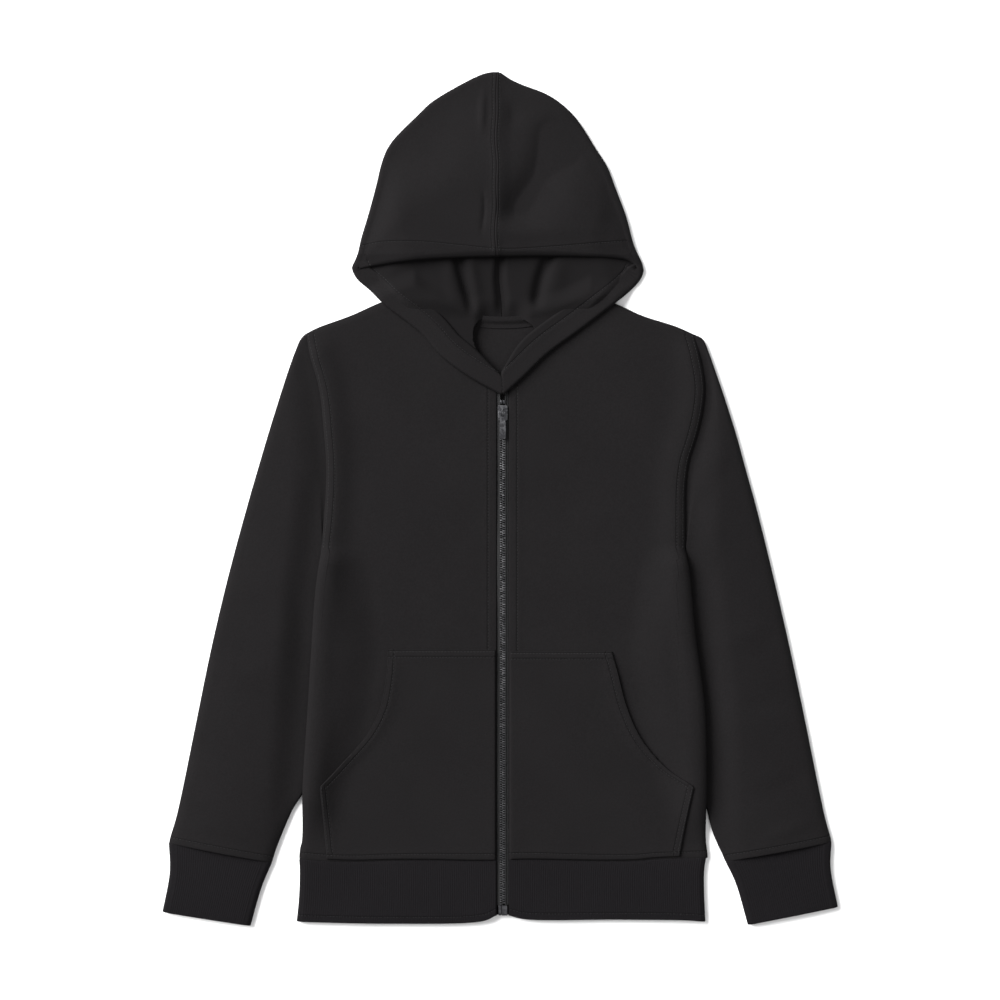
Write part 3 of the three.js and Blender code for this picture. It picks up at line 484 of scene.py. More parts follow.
# Materials.
class Nodes:
    """Adds nodes to a tree and joins them."""

    def __init__(self, tree):
        self.tree = tree
        self.spot = self.add("ShaderNodeTexCoord").outputs["Object"]

    def join(self, node, inputs):
        for key, value in inputs.items():
            if isinstance(value, bpy.types.NodeSocket):
                self.tree.links.new(value, node.inputs[key])
            else:
                node.inputs[key].default_value = value
        return node

    def add(self, kind, inputs=None, **settings):
        node = self.tree.nodes.new(kind)
        for key, value in settings.items():
            setattr(node, key, value)
        return self.join(node, inputs or {})

    def math(self, operation, a, b=0.0, clamp=False):
        node = self.add("ShaderNodeMath", {0: a, 1: b}, operation=operation, use_clamp=clamp)
        return node.outputs[0]

    def total(self, *parts):
        """Sum of values, each times its weight."""
        total = 0.0
        for value, weight in parts:
            total = self.math("ADD", total, self.math("MULTIPLY", value, weight))
        return total

    def span(self, value, low, high, to_low=0.0, to_high=1.0):
        ends = {"From Min": low, "From Max": high, "To Min": to_low, "To Max": to_high}
        inputs = {"Value": value, **ends}
        return self.add("ShaderNodeMapRange", inputs, interpolation_type="SMOOTHSTEP").outputs["Result"]

    def noise(self, scale, detail=3.0, rough=0.55):
        inputs = {"Vector": self.spot, "Scale": scale, "Detail": detail, "Roughness": rough}
        return self.add("ShaderNodeTexNoise", inputs).outputs["Fac"]

    def axis(self, letter):
        return self.add("ShaderNodeSeparateXYZ", {"Vector": self.spot}).outputs[letter]

    def wave(self, value, length):
        return self.math("SINE", self.math("MULTIPLY", value, 2 * math.pi / length))

    def attribute(self, name):
        return self.add("ShaderNodeAttribute", attribute_name=name).outputs["Fac"]


class Material(Nodes):
    """A material round one Principled shader."""

    def __init__(self, name):
        self.material = bpy.data.materials.new(name)
        self.material.use_nodes = True
        super().__init__(self.material.node_tree)

    def finish(self, tint, dark, light, rough, bump=None, **constants):
        """Joins a colour between dark and light, a roughness, and a bump: height, strength, distance."""
        colours = {"Factor": tint, "A": (*dark, 1), "B": (*light, 1)}
        colour = self.add("ShaderNodeMix", colours, data_type="RGBA").outputs["Result"]
        inputs = {"Base Color": colour, "Roughness": rough}
        if bump:
            bump = self.add("ShaderNodeBump", dict(zip(("Height", "Strength", "Distance"), bump)))
            inputs["Normal"] = bump.outputs["Normal"]
        inputs.update({key.replace("_", " "): value for key, value in constants.items()})
        self.join(self.tree.nodes["Principled BSDF"], inputs)
        return self.material

    def striped(self, stripe, dark, light, rough, strength, distance):
        """Finishes with colour, roughness and bump that all follow one wave."""
        tint = self.span(stripe, -1.0, 1.0)
        rough = self.span(stripe, -1.0, 1.0, *rough)
        return self.finish(tint, dark, light, rough, (stripe, strength, distance), Specular_IOR_Level=0.3)


def effect_group(name, *labels):
    """A shared group that gives one number for each label."""
    tree = bpy.data.node_groups.new(name, "ShaderNodeTree")
    for label in labels:
        tree.interface.new_socket(label, in_out="OUTPUT", socket_type="NodeSocketFloat")
    return Nodes(tree)


def seam_group():
    """Stitch grooves, which also give painted shade in the cloth's colour, and the puckers beside them,
    from the seam distances of each vertex.
    """
    made = effect_group("seam_marks", "GrooveAndShade", "Pucker")
    nearest = FAR
    for letter in SEAM_LETTERS:
        distance = made.math("ABSOLUTE", made.attribute(f"seam_{letter}"))
        nearest = made.math("MINIMUM", nearest, distance)
    groove_and_shade = made.span(nearest, 0.2, 1.9, 1.0, 0.0)
    near = made.span(nearest, 1.0, 9.0, 1.0, 0.0)
    pucker = made.math("MULTIPLY", near, made.noise(210.0, 2.0))
    made.add("NodeGroupOutput", {"GrooveAndShade": groove_and_shade, "Pucker": pucker})
    return made.tree


def knit_group():
    """Fine wales and a brushed fuzz, as a height and a mottling."""
    made = effect_group("knit_face", "Height", "Mottle")
    wale, course = made.wave(made.axis("X"), 0.0012), made.wave(made.axis("Y"), 0.0010)
    loops = made.math("MULTIPLY", wale, course)
    fuzz, pile = made.noise(1500.0, 4.0, 0.7), made.noise(420.0, 3.0, 0.6)
    cloudy, specks = made.noise(16.0, 3.0, 0.5), made.noise(650.0, 2.0, 0.8)
    height = made.total((loops, 0.16), (fuzz, 0.7), (pile, 0.8))
    mottle = made.total((cloudy, 0.22), (specks, 0.78))
    made.add("NodeGroupOutput", {"Height": height, "Mottle": mottle})
    return made.tree


KNIT = knit_group()
SEAMS = seam_group()


def cloth_material(name, dark, light, bump):
    """Brushed knit, with painted shade in stitch grooves, and darker inside the hood: the fleece's wrong
    side plus painted shade under the crown rim.
    """
    made = Material(name)
    knit = made.add("ShaderNodeGroup", node_tree=KNIT).outputs
    seams = made.add("ShaderNodeGroup", node_tree=SEAMS).outputs
    mottle = made.span(knit["Mottle"], 0.3, 0.7)
    # Painted shade: the colour is darkened in stitch grooves and inside the hood under the crown rim.
    for value, weight in ((made.attribute("wrong_side_and_hollow_shade"), 0.8), (seams["GrooveAndShade"], 0.75)):
        mottle = made.math("SUBTRACT", mottle, made.math("MULTIPLY", value, weight), clamp=True)
    height = made.total((knit["Height"], 0.35), (seams["GrooveAndShade"], -1.2), (seams["Pucker"], 1.1))
    rough = made.span(knit["Mottle"], 0.2, 0.8, 0.86, 0.99)
    return made.finish(
        mottle, dark, light, rough, (height, bump, 0.0006),
        Specular_IOR_Level=0.05, Sheen_Weight=0.004, Sheen_Roughness=0.55,
    )


def tape_material():
    """Woven zip tape: a fine herringbone."""
    made = Material("woven_tape")
    zigzag = made.math("PINGPONG", made.math("MULTIPLY", made.axis("X"), 1000.0), 1.0)
    slant = made.math("ADD", made.math("MULTIPLY", made.axis("Y"), 1000.0), zigzag)
    colours = (0.003, 0.003, 0.0034), (0.0095, 0.0095, 0.0103)
    return made.striped(made.wave(slant, 0.8), *colours, (0.75, 0.6), 0.7, 0.0002)


def thread_material():
    """Twisted sewing thread."""
    made = Material("thread")
    twist = made.wave(made.math("ADD", made.axis("X"), made.axis("Y")), 0.0007)
    colours = (0.0035, 0.0034, 0.0038), (0.007, 0.0067, 0.0072)
    return made.striped(twist, *colours, (0.7, 0.55), 0.5, 0.0001)


def metal_material(name, dark, light, rough_low, rough_high):
    """Dark plated metal, rubbed lighter in places, with a painted reflection that makes it lighter
    towards the top of the zip and darker down it.
    """
    made = Material(name)
    # Painted reflection: the colour is lighter higher up the zip and darker lower down.
    upper = made.span(made.axis("Y"), -0.26, -0.17, 0.42, 1.0)
    wear_and_reflection = made.math("MULTIPLY", made.span(made.noise(260.0, 4.0, 0.65), 0.42, 0.66), upper)
    grain = made.noise(1600.0, 2.0, 0.6)
    rough = made.span(grain, 0.3, 0.7, rough_low, rough_high)
    return made.finish(wear_and_reflection, dark, light, rough, (grain, 0.2, 0.0001), Metallic=0.9)


def floor_material():
    made = Material("studio_floor")
    colours = (0.86, 0.86, 0.865), (0.9, 0.9, 0.9)
    return made.finish(made.noise(3.0, 2.0), *colours, 0.9, Specular_IOR_Level=0.1)


FLEECE = cloth_material("black_fleece", (0.0060, 0.0055, 0.0058), (0.0089, 0.0082, 0.0086), 0.6)
RIB_KNIT = cloth_material("black_rib", (0.0047, 0.0042, 0.0048), (0.0069, 0.0063, 0.0071), 0.5)
TAPE = tape_material()
TEETH = metal_material("gunmetal_teeth", (0.036, 0.036, 0.038), (0.15, 0.15, 0.155), 0.3, 0.45)
PLATED = metal_material("gunmetal_plate", (0.03, 0.03, 0.033), (0.10, 0.10, 0.106), 0.28, 0.42)
THREAD = thread_material()


def dress(piece, material, body="garment", node=None):
    piece.data.materials.clear()
    piece.data.materials.append(material)
    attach(piece, body)
    if node:
        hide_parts(node)
    return piece


# Back and fronts.
def body_plan(side, top, middle_x):
    """One half of the body between its side and a middle line, below a given top line."""
    lines = SIDE_LINES[side]
    points = np.vstack([smooth(lines["side"]), smooth(lines["armhole"][::-1])])
    inset = CLOTH / 2 * (1 - ease(ARMPIT_Y - 12, ARMPIT_Y + 12, points[:, 1]))
    points[:, 0] += -OUTWARDS[side] * inset
    edge = Line(points)
    hem = straight(edge(0.0), (middle_x, HEM_SEAM_Y))
    crown = Line(np.vstack([edge(1.0), top.points[1:]]))
    middle = straight((middle_x, HEM_SEAM_Y), (middle_x, top(1.0)[1]))
    across = rolled_shares(abs(hem(0.0)[0] - middle_x), start=EDGE_ROLL)
    up = rolled_shares(edge.length, stop=EDGE_ROLL, steps=BODY_STEPS)
    return fill(hem, crown, edge, middle, across, up)


def hem_wave(x, y):
    """The sewn hem seam's wander, which dies out above and below it."""
    points = smooth(HEM_WAVE)
    fade = np.exp(-(((y - HEM_SEAM_Y) / HEM_WAVE_REACH) ** 2))
    return np.interp(x, points[:, 0], points[:, 1]) * fade


def front_middle(side, plan):
    x, y = plan[..., 0], plan[..., 1]
    lines = SIDE_LINES[side]
    from_edge = gaps_from(plan, plan[:, :1])
    from_top = gaps_from(plan, plan[-1:])
    at_armhole = ease(ARMPIT_Y - 6, ARMPIT_Y + 40, y)
    high_x = lines["neckline"][0][0]
    is_shoulder = ease(-14, -2, OUTWARDS[side] * (x - high_x))
    level = FRONT_TOP - CLOTH / 2
    z = body_lift(side, x, y) + level
    puff = SIDE_PUFF * np.exp(-(((from_edge - 12) / 15) ** 2))
    z = z + puff * ease(-384, -330, y) * ease(0, 30, from_top)
    drop_side = roll(from_edge, EDGE_ROLL, level - 2.8) * (1 - at_armhole)
    drop_side = drop_side + roll(from_edge, 4.5, 3.4) * at_armhole
    drop_top = roll(from_top, EDGE_ROLL, level - 2.8) * is_shoulder
    z = z - np.maximum(drop_side, drop_top)
    return z + swell(x, y, 1.3 if side == "left" else 4.1, 0.7, 120)


def whole(halves):
    """Both halves of a grid, joined on the body's middle line."""
    return np.concatenate([halves["left"], halves["right"][:, -2::-1]], axis=1)


def make_back():
    halves = {}
    for side in SIDE_LINES:
        lines = SIDE_LINES[side]
        high_x = lines["shoulder"][-1][0]
        neck_x = np.linspace(high_x, BODY_CENTRE_X, 30)
        neck = np.stack([neck_x, back_neck_y(neck_x)], axis=-1)
        plan = body_plan(side, Line(smooth(lines["shoulder"]), neck[1:]), BODY_CENTRE_X)
        x, y = plan[..., 0], plan[..., 1]
        from_edge = gaps_from(plan, plan[:, :1])
        at_armhole = ease(ARMPIT_Y - 6, ARMPIT_Y + 40, y)
        edge_up = roll(from_edge, EDGE_ROLL / 2, 1.1) * (1 - at_armhole)
        halves[side] = np.dstack([plan, body_lift(side, x, y) + CLOTH / 2 + edge_up])
    piece = shell("back_panel", whole(halves), CLOTH)
    dress(piece, FLEECE, node="back")


def zip_edge_x(side):
    return ZIP_X + OUTWARDS[side] * ZIP_SLOT / 2


def make_fronts():
    made = {}
    for side, lines in SIDE_LINES.items():
        edge_x = zip_edge_x(side)
        neck = [*lines["neckline"][:-1], (edge_x, lines["neckline"][-1][1])]
        plan = body_plan(side, Line(smooth(lines["shoulder"]), smooth(neck)), edge_x)
        z = front_middle(side, plan)
        plan[..., 1] += hem_wave(plan[..., 0], plan[..., 1])
        away = OUTWARDS[side]
        armhole = smooth(lines["armhole"])[::3]
        x = np.linspace(lines["side"][0][0] - away * 3, edge_x, 50)
        seam_y = HEM_SEAM_Y + hem_wave(x, HEM_SEAM_Y)
        facing_x = edge_x + away * FACING
        facing = np.array([(facing_x, HEM_SEAM_Y - 3), (facing_x, 124)])
        rows = [
            armhole - (away * 2.4, 0), armhole - (away * 9.2, 0),
            np.stack([x, seam_y + TOPSTITCH], axis=-1), facing,
        ]
        piece = shell(f"front_panel_{side}", np.dstack([plan, z]), CLOTH, seams=rows[1:])
        dress(piece, FLEECE, node=f"front_{side}")
        made[side] = {"piece": piece, "rows": rows}
    return made


make_back()
fronts = make_fronts()


# Pockets, sewn on the fronts and open along the slanted curve.
def make_pockets():
    made = {}
    for side, lines in SIDE_LINES.items():
        inwards = -OUTWARDS[side]
        inner_x = ZIP_X - inwards * (ZIP_SLOT / 2 + 1.5)
        outer = Line(smooth(lines["pocketSide"][::-1]), smooth(lines["pocket"][::-1]))
        top_y, bottom_y = lines["pocket"][0][1], HEM_SEAM_Y + 0.9
        inner = straight((inner_x, bottom_y), (inner_x, top_y))
        plan = fill(
            straight(outer(0.0), (inner_x, bottom_y)),
            straight(outer(1.0), (inner_x, top_y)),
            outer,
            inner,
            rolled_shares(150, start=4),
            rolled_shares(225, stop=3),
        )
        plan[..., 1] += hem_wave(plan[..., 0], plan[..., 1])
        low_y = HEM_SEAM_Y + hem_wave(plan[..., 0], HEM_SEAM_Y) + 2.5
        find = surface_of(fronts[side]["piece"])
        spots = zip(plan[..., 0].ravel(), np.maximum(plan[..., 1], low_y).ravel())
        z = np.array([find(x, y)[0].z for x, y in spots]).reshape(plan.shape[:2])
        from_edge = gaps_from(plan, plan[:, :1])
        from_top = gaps_from(plan, plan[-1:])
        mouth = ease(0.35, 0.5, np.linspace(0, 1, len(plan)))[:, None]
        z = z + CLOTH / 2 + 0.1
        z = z + 1.1 * np.exp(-(((from_edge - 5) / 12) ** 2)) * mouth * ease(0, 30, from_top)
        z = z - roll(from_top, 4, 0.9)
        curve = smooth(lines["pocket"]) + (inwards * TOPSTITCH, -1.0)
        seams = [
            curve[::3],
            np.array([(outer(1.0)[0], top_y - 7.5), (inner_x, top_y - 7.5)]),
            smooth(lines["pocketSide"]) + (inwards * 6.5, 0),
            fronts[side]["rows"][2],
        ]
        piece = shell(f"pocket_panel_{side}", np.dstack([plan, z]), CLOTH, seams=seams)
        dress(piece, FLEECE, node=f"pocket_{side}")
        top_edge = np.array([(outer(1.0)[0] + inwards * 1.6, top_y - 1.6), (inner_x, top_y - 1.6)])
        side_edge = smooth(lines["pocketSide"])[::3] + (inwards * 1.8, 0)
        made[side] = {"piece": piece, "rows": [*seams, top_edge, side_edge]}
    return made


pockets = make_pockets()


# Hem band and cuffs, knitted in ribs.
def ribs(grid, half, depth=0.34):
    """Ribs across a grid whose columns are a quarter of a rib apart, where the wall is thick."""
    wave = depth * (0.5 - 0.5 * np.cos(np.arange(grid.shape[1]) * math.pi / 2))
    return wave * (half > 0.9)


def hem_plan(side, middle_x, cell_across):
    lines = SIDE_LINES[side]
    edge = Line(smooth(lines["hemSide"][::-1]))
    bottom = Line(smooth(lines["hemBottom"]), np.array([(middle_x, ZIP_BOTTOM_Y)], float))
    edge = Line(edge.points + (0, 1.2) * ease(-404, -392, edge.points[:, 1:]))
    corner = (middle_x, HEM_SEAM_Y + 0.6)
    return fill(
        bottom,
        straight(edge(1.0), corner),
        edge,
        straight(bottom(1.0), corner),
        rolled_shares(abs(edge(0.0)[0] - middle_x), start=4, cell=cell_across),
        rolled_shares(72, start=2, cell=4),
    )


def make_hem():
    halves, made = {}, {}
    for side in SIDE_LINES:
        plan = hem_plan(side, BODY_CENTRE_X, RIB_CELL)
        halves[side] = np.dstack([plan, RIB / 2 + roll(gaps_from(plan, plan[:, :1]), 4, 1.0)])
    dress(shell("hem_band_back", whole(halves), RIB), RIB_KNIT, node="hem_back")
    for side in SIDE_LINES:
        edge_x = zip_edge_x(side)
        plan = hem_plan(side, edge_x, RIB_CELL)
        from_edge = gaps_from(plan, plan[:, :1])
        level = RIB + LAYER_GAP + RISE + RIB / 2
        z = level - roll(from_edge, 7, level - 3.2)
        z = z + swell(plan[..., 0], plan[..., 1], 2.2, 0.5, 90)
        plan[..., 1] += hem_wave(plan[..., 0], plan[..., 1])
        bottom = smooth(SIDE_LINES[side]["hemBottom"])[::4] + (0, 7)
        band = shell(f"hem_band_{side}", np.dstack([plan, z]), RIB, seams=[bottom], relief=ribs)
        dress(band, RIB_KNIT, node=f"hem_front_{side}")
        made[side] = {"piece": band, "rows": [bottom]}
    return made


hems = make_hem()


def tube_shares(width, fold, cell):
    """Columns round a flattened tube: across the bottom one way, and back across the top."""
    turns = np.radians([0, 15, 30, 45, 60, 75])
    corner = fold * (1 - np.cos(turns))
    flat = np.linspace(fold, width - fold, max(4, round((width - 2 * fold) / cell)) + 1)
    return np.concatenate([corner, flat, (width - corner)[::-1]]) / width


def flat_tube(outer_line, inner_line, shares, columns, fold, half_height, top_extra, bend=0):
    """Middle points of a flattened tube between an outer and an inner line."""
    start, stop = outer_line(shares)[:, None], inner_line(shares)[:, None]
    width = np.linalg.norm(stop - start, axis=-1)
    across = columns[None, :]
    distance = np.minimum(across, 1 - across) * width
    edge = 1 - roll(distance, fold, 1.0)
    plan = start * (1 - across[..., None]) + stop * across[..., None] + bend
    middle_z = SLEEVE_HEIGHT / 2
    top = middle_z + half_height * edge + top_extra(shares[:, None], across, plan) * edge
    bottom = middle_z - half_height * edge
    over = np.dstack([plan, top])[:, ::-1]
    under = np.dstack([plan, bottom])[:, 1:-1]
    return np.concatenate([under, over], axis=1)


SLEEVE_FOLDS = {
    "left": [
        ([(-250, 60), (-225, 40), (-212, 5)], (13, 13), -1.0, 0.45),
        ([(-300, -110), (-262, -120), (-232, -150)], (12, 12), -0.9, 0.45),
        ([(-318, -170), (-280, -190), (-236, -186)], (16, 16), 0.9, 0.5),
        ([(-338, -300), (-300, -318), (-262, -352)], (12, 12), -0.8, 0.45),
        ([(-346, -352), (-308, -358), (-272, -380)], (8, 8), 0.8, 0.45),
    ],
    "right": [
        ([(262, 40), (238, 20), (222, -15)], (13, 13), -1.0, 0.45),
        ([(306, -130), (276, -146), (236, -150)], (12, 12), 1.0, 0.45),
        ([(322, -200), (292, -222), (240, -232)], (14, 14), -0.9, 0.5),
        ([(342, -292), (306, -318), (268, -326)], (12, 12), -0.9, 0.45),
        ([(350, -350), (318, -362), (276, -380)], (8, 8), 0.8, 0.45),
    ],
}


def cuff_line(lines, edge):
    """A cuff's outer or inner line, which starts just inside the sleeve's end."""
    x, y = lines[f"sleeve{edge}"][-1]
    return through([(x, y + 1), *lines[f"cuff{edge}"]])


def make_sleeves():
    made = {}
    for side, lines in SIDE_LINES.items():
        outwards = OUTWARDS[side]
        armhole = through(lines["armhole"])
        chord = straight(armhole(0.0), armhole(1.0))
        columns = tube_shares(115, SLEEVE_FOLD, CELL)
        shares = rolled_shares(SLEEVE_LENGTH, start=3)
        bend = (armhole(columns) - chord(columns)) * (1 - ease(0, 0.3, shares))[:, None, None]
        bend[..., 0] -= outwards * 0.5 * (1 - ease(0.0, 0.02, shares))[:, None]

        def top_extra(rows, across, plan):
            x, y = plan[..., 0], plan[..., 1]
            covered = from_side(side, x, y)
            clear = ease(6, 40, -covered)
            arch = SLEEVE_CROWN * np.sin(math.pi * np.clip(across, 0, 1)) ** 0.8
            from_seam = rows * SLEEVE_LENGTH
            depth = 1.3 if side == "left" else 2.0
            valley = -depth * np.exp(-((from_seam / 34) ** 2)) - roll(from_seam, 3.5, 0.9)
            relief = swell(x, y, 3.1 if side == "left" else 5.2, 0.8, 130)
            relief = relief + folds(SLEEVE_FOLDS[side], x, y)
            beside_body = -1.6 * (1 - ease(2, 34, -covered)) * ease(0.3, 0.42, rows)
            return (arch + relief) * clear + valley + beside_body

        tube = flat_tube(
            through(lines["sleeveOuter"]), through(lines["sleeveInner"]), shares, columns,
            SLEEVE_FOLD, (SLEEVE_HEIGHT - CLOTH) / 2, top_extra, bend,
        )
        end = np.array([lines["sleeveOuter"][-1], lines["sleeveInner"][-1]], float) + (0, 7)
        piece = shell(f"sleeve_tube_{side}", tube, CLOTH, is_tube=True, seams=[end])
        dress(piece, FLEECE, node=f"sleeve_{side}")
        made[side] = {"piece": piece, "rows": [end]}

        outer, inner = (cuff_line(lines, edge) for edge in ("Outer", "Inner"))
        swells = lambda rows, across, plan: 1.2 * np.sin(math.pi * across) + 0 * plan[..., 0]
        cuff = flat_tube(
            outer, inner, rolled_shares(72, cell=3.5), tube_shares(102, CUFF_FOLD, RIB_CELL),
            CUFF_FOLD, (SLEEVE_HEIGHT - RIB) / 2, swells,
        )
        band = shell(f"cuff_band_{side}", cuff, RIB, is_tube=True, relief=ribs)
        dress(band, RIB_KNIT, node=f"cuff_{side}")
    return made


sleeves = make_sleeves()


# Hood, each half one sheet from its free edge round the outer fold to the seam.
def hood_lift(side, x, y):
    """Height of the hood's lower layer, which lies on the fronts beside and below the neck."""
    lines = SIDE_LINES[side]
    sidewards = ease(14, 32, np.abs(x - BODY_CENTRE_X))
    high, low = np.array(lines["shoulder"][-1], float), np.array(lines["shoulder"][-2], float)
    slope = (low[1] - high[1]) / (low[0] - high[0])
    shoulder_y = high[1] + slope * (x - high[0])
    is_over_neck = OUTWARDS[side] * (x - high[0]) < 0
    edge_y = np.where(is_over_neck, back_neck_y(x), shoulder_y)
    below = ease(8, 20, back_neck_y(x) - y)
    return CLOTH + (FRONT_TOP + REST_GAP) * np.maximum(sidewards * ease(-26, -3, edge_y - y), below)


INSIDE_FOLDS = [
    (
        [(-49, 290), (-45, 263), (-39, 242), (-33, 218), (-31, 203), (-28.6, 178), (-24, 165)],
        (5, 5), -7.4, 0.1,
    ),
    ([(-58, 275), (-53, 240), (-44, 205)], (8, 8), 1.9, 0.4),
    ([(-34, 284), (-27, 245), (-21, 208)], (7, 7), 2.2, 0.35),
    ([(56, 290), (53, 265), (47.5, 246), (42, 223), (39.5, 205)], (6, 6), -6.2, 0.15),
    ([(68, 276), (62, 240), (54, 210)], (10, 10), 1.8, 0.4),
    ([(3, 284), (6.5, 240), (9, 208)], (3.0, 3.0), -2.0, 0.2),
    ([(-3.5, 284), (0.5, 240), (1.5, 208)], (3.0, 3.0), 1.5, 0.2),
    ([(-96, 262), (-84, 240), (-70, 218)], (9, 9), -0.9, 0.4),
]


def hood_rows(side):
    lines = SIDE_LINES[side]
    outward = OUTWARDS[side]
    seam_x = BODY_CENTRE_X - outward * 0.1
    rim, outline, crown_rim = (through(lines[k]) for k in ("hoodRim", "hoodOutline", "crownRim"))
    neck_x = np.linspace(BODY_CENTRE_X + outward * 24, seam_x, 12)
    neck = np.stack([neck_x, back_neck_y(neck_x) + SEAM], axis=-1)
    front_fold = smooth([(seam_x, 119), *lines["hoodInnerFold"], tuple(neck[0])])
    inner = Line(front_fold, neck[1:])
    seam = straight((seam_x, float(back_neck_y(seam_x)) + SEAM), (seam_x, 454))
    reach = CLOTH + HOOD_FOLD_DEPTH
    turns = np.radians(np.linspace(90, -90, 9))
    lower = np.linspace(0, 1, 66)[1:]
    upper = np.linspace(0, 1, 44)

    def outward_normal(line, share):
        step = line(min(1, share + 0.01)) - line(max(0, share - 0.01))
        normal = np.array([-step[1], step[0]]) / np.linalg.norm(step)
        return -outward * normal

    def row_at(fold, outwards, free, end, gap, puff, under):
        bottom = fold - outwards * reach
        top = free + (bottom - free) * upper[:, None]
        rise = puff * (1 - ease(0.4, 1, upper))
        if side == "right":
            rise = rise * (1 - 0.45 * np.clip((top[:, 0] - BODY_CENTRE_X) / 130, 0, 1))
        ridge = 1.1 * np.exp(-(((top[:, 0] - BODY_CENTRE_X) / 4.5) ** 2)) * min(1, puff / 4)
        top_z = hood_lift(side, *top.T) + gap + rise + ridge
        shape = ease(0, 0.2, upper) * ease(0, 0.25, 1 - upper) * (puff / CROWN_PUFF)
        creases = folds(FOLDS[f"crown_{side}"], *top.T) * (0.35 + 0.65 * shape) * (puff / CROWN_PUFF)
        top_z = top_z + np.maximum(creases, -0.75 * rise)
        inwards = (bottom - free) / max(np.linalg.norm(bottom - free), 1e-6)
        tuck = np.array([1, 0.5, 0.12])[:, None] * under
        is_turned = min(1, under / 8)
        hidden = free + inwards * tuck
        hidden_z = top_z[0] - 2.7 * np.ones(3) * is_turned
        curl = np.radians([-50, 0, 50])
        nose = free - inwards * (np.cos(curl) * 1.1 * is_turned)[:, None]
        nose_z = top_z[0] - 1.35 * is_turned * (1 - np.sin(curl))
        around = bottom + outwards * (HOOD_FOLD_DEPTH * np.cos(turns))[:, None]
        around_z = hood_lift(side, *bottom) + gap / 2 * (1 + np.sin(turns))
        floor = bottom + (end - bottom) * lower[:, None]
        is_hood = ease(0.02, 0.25, lower) * ease(0, 0.06, 1 - lower)
        inside = 5.6 + folds(INSIDE_FOLDS, *floor.T)
        open_part = ease(196, 220, floor[:, 1]) * (1 - ease(290, 350, floor[:, 1]))
        floor_z = hood_lift(side, *floor.T) + np.maximum(inside, 0) * is_hood * open_part
        plan = np.concatenate([hidden, nose, top[1:], around[1:], floor])
        z = np.concatenate([hidden_z, nose_z, top_z[1:], around_z[1:], floor_z])
        return np.column_stack([plan, z])

    rows = []
    for share in np.linspace(0, 1, RIM_ROWS + 1)[:-1]:
        fold = rim(share)
        outwards = outward_normal(rim, max(share, 0.05))
        turn = HEM_TURN * float(ease(-0.2, 0.3, share)) * (1 - 0.5 * float(ease(0.6, 1, share)))
        free = fold - outwards * (turn + reach)
        rows.append(row_at(fold, outwards, free, inner(share), REST_GAP * 2, 0, 0.4))
    for share in np.linspace(0, 1, OUTLINE_ROWS):
        fold = outline(share)
        outwards = outward_normal(outline, share)
        blend = 1 - float(ease(0, 0.06, share))
        corner = (outward_normal(rim, 1) + outward_normal(outline, 0)) / 2
        outwards = outwards * (1 - blend) + corner * blend
        top_end = float(ease(0.93, 1, share))
        outwards = outwards * (1 - top_end) + np.array([0, 1]) * top_end
        outwards = outwards / np.linalg.norm(outwards)
        puff = CROWN_PUFF * float(ease(0, 0.4, share))
        gap = FOLD_GAP * float(ease(-0.3, 0.12, share))
        under = 0.4 + 15 * float(ease(0.03, 0.25, share))
        rows.append(row_at(fold, outwards, crown_rim(share), seam(share), gap, puff, under))
    grid = np.array(rows)
    past = (grid[..., 0] - seam_x) * outward < 0
    grid[..., 0] = np.where(past, seam_x, grid[..., 0])
    return grid, seam_x


def seam_wander(y):
    return 0.7 * np.sin(y / 17) + 0.5 * np.sin(y / 8.3 + 1)


def seam_shift(x, y, is_crown):
    """How far the hood's centre seam has rolled to the side from the body's middle line."""
    shift = np.where(is_crown, -6.9, -4.0) + seam_wander(y)
    near = np.exp(-(((x - BODY_CENTRE_X) / 42) ** 2))
    return shift * near * ease(196, 250, y)


def make_hood():
    made = {}
    for side in SIDE_LINES:
        grid, seam_x = hood_rows(side)
        outward = OUTWARDS[side]
        normal = grid_normals(grid, False)
        if normal[140, 20, 2] < 0:
            normal = -normal
        middle = grid + normal * CLOTH / 2
        past = (middle[..., 0] - seam_x) * outward < 0
        middle[..., 0] = np.where(past, seam_x, middle[..., 0])
        middle[..., 2] = np.maximum(middle[..., 2], CLOTH / 2)
        rim = [(-155, 277), (-131, 281), (-86, 281), (-42, 277), (2.2, 273), (60, 276), (138, 283)]
        ys = np.linspace(270, 468, 60)
        centre = np.stack([-4.4 + outward * 3.4 + seam_wander(ys), ys], axis=-1)
        band = smooth(SIDE_LINES[side]["hoodRim"])[::4]
        way = np.gradient(band, axis=0)
        way = way / np.linalg.norm(way, axis=1)[:, None]
        inwards = -outward * np.stack([way[:, 1], -way[:, 0]], axis=-1)
        band = band + inwards * 20.5
        middle[RIM_ROWS:, -1, 0] = seam_x
        middle[-1, :, 0] = seam_x
        column = np.arange(middle.shape[1])[None, :]
        middle[..., 0] += seam_shift(middle[..., 0], middle[..., 1], column < CROWN_COLUMNS)
        rows = [smooth(rim), centre, band]
        piece = shell(f"hood_half_{side}", middle, CLOTH, seams=rows)
        dress(piece, FLEECE, node=f"hood_{side}")
        # The hood's inside, between the band and the crown rim, is marked for darkening: partly the
        # fleece's wrong side, partly painted shade of the hollow under the rim.
        spots = np.array([v.co for v in piece.data.vertices]) / MM
        beyond = np.abs(offset_from(band, spots[:, :2])[0])
        inside = ease(0, 2, beyond) * (y_at(band, spots[:, 0]) < spots[:, 1])
        layer = piece.data.attributes.new("wrong_side_and_hollow_shade", "FLOAT", "POINT")
        layer.data.foreach_set("value", (inside * (spots[:, 1] < 268)).astype(np.float32))
        made[side] = {"piece": piece, "rows": rows}
    return made


hood = make_hood()


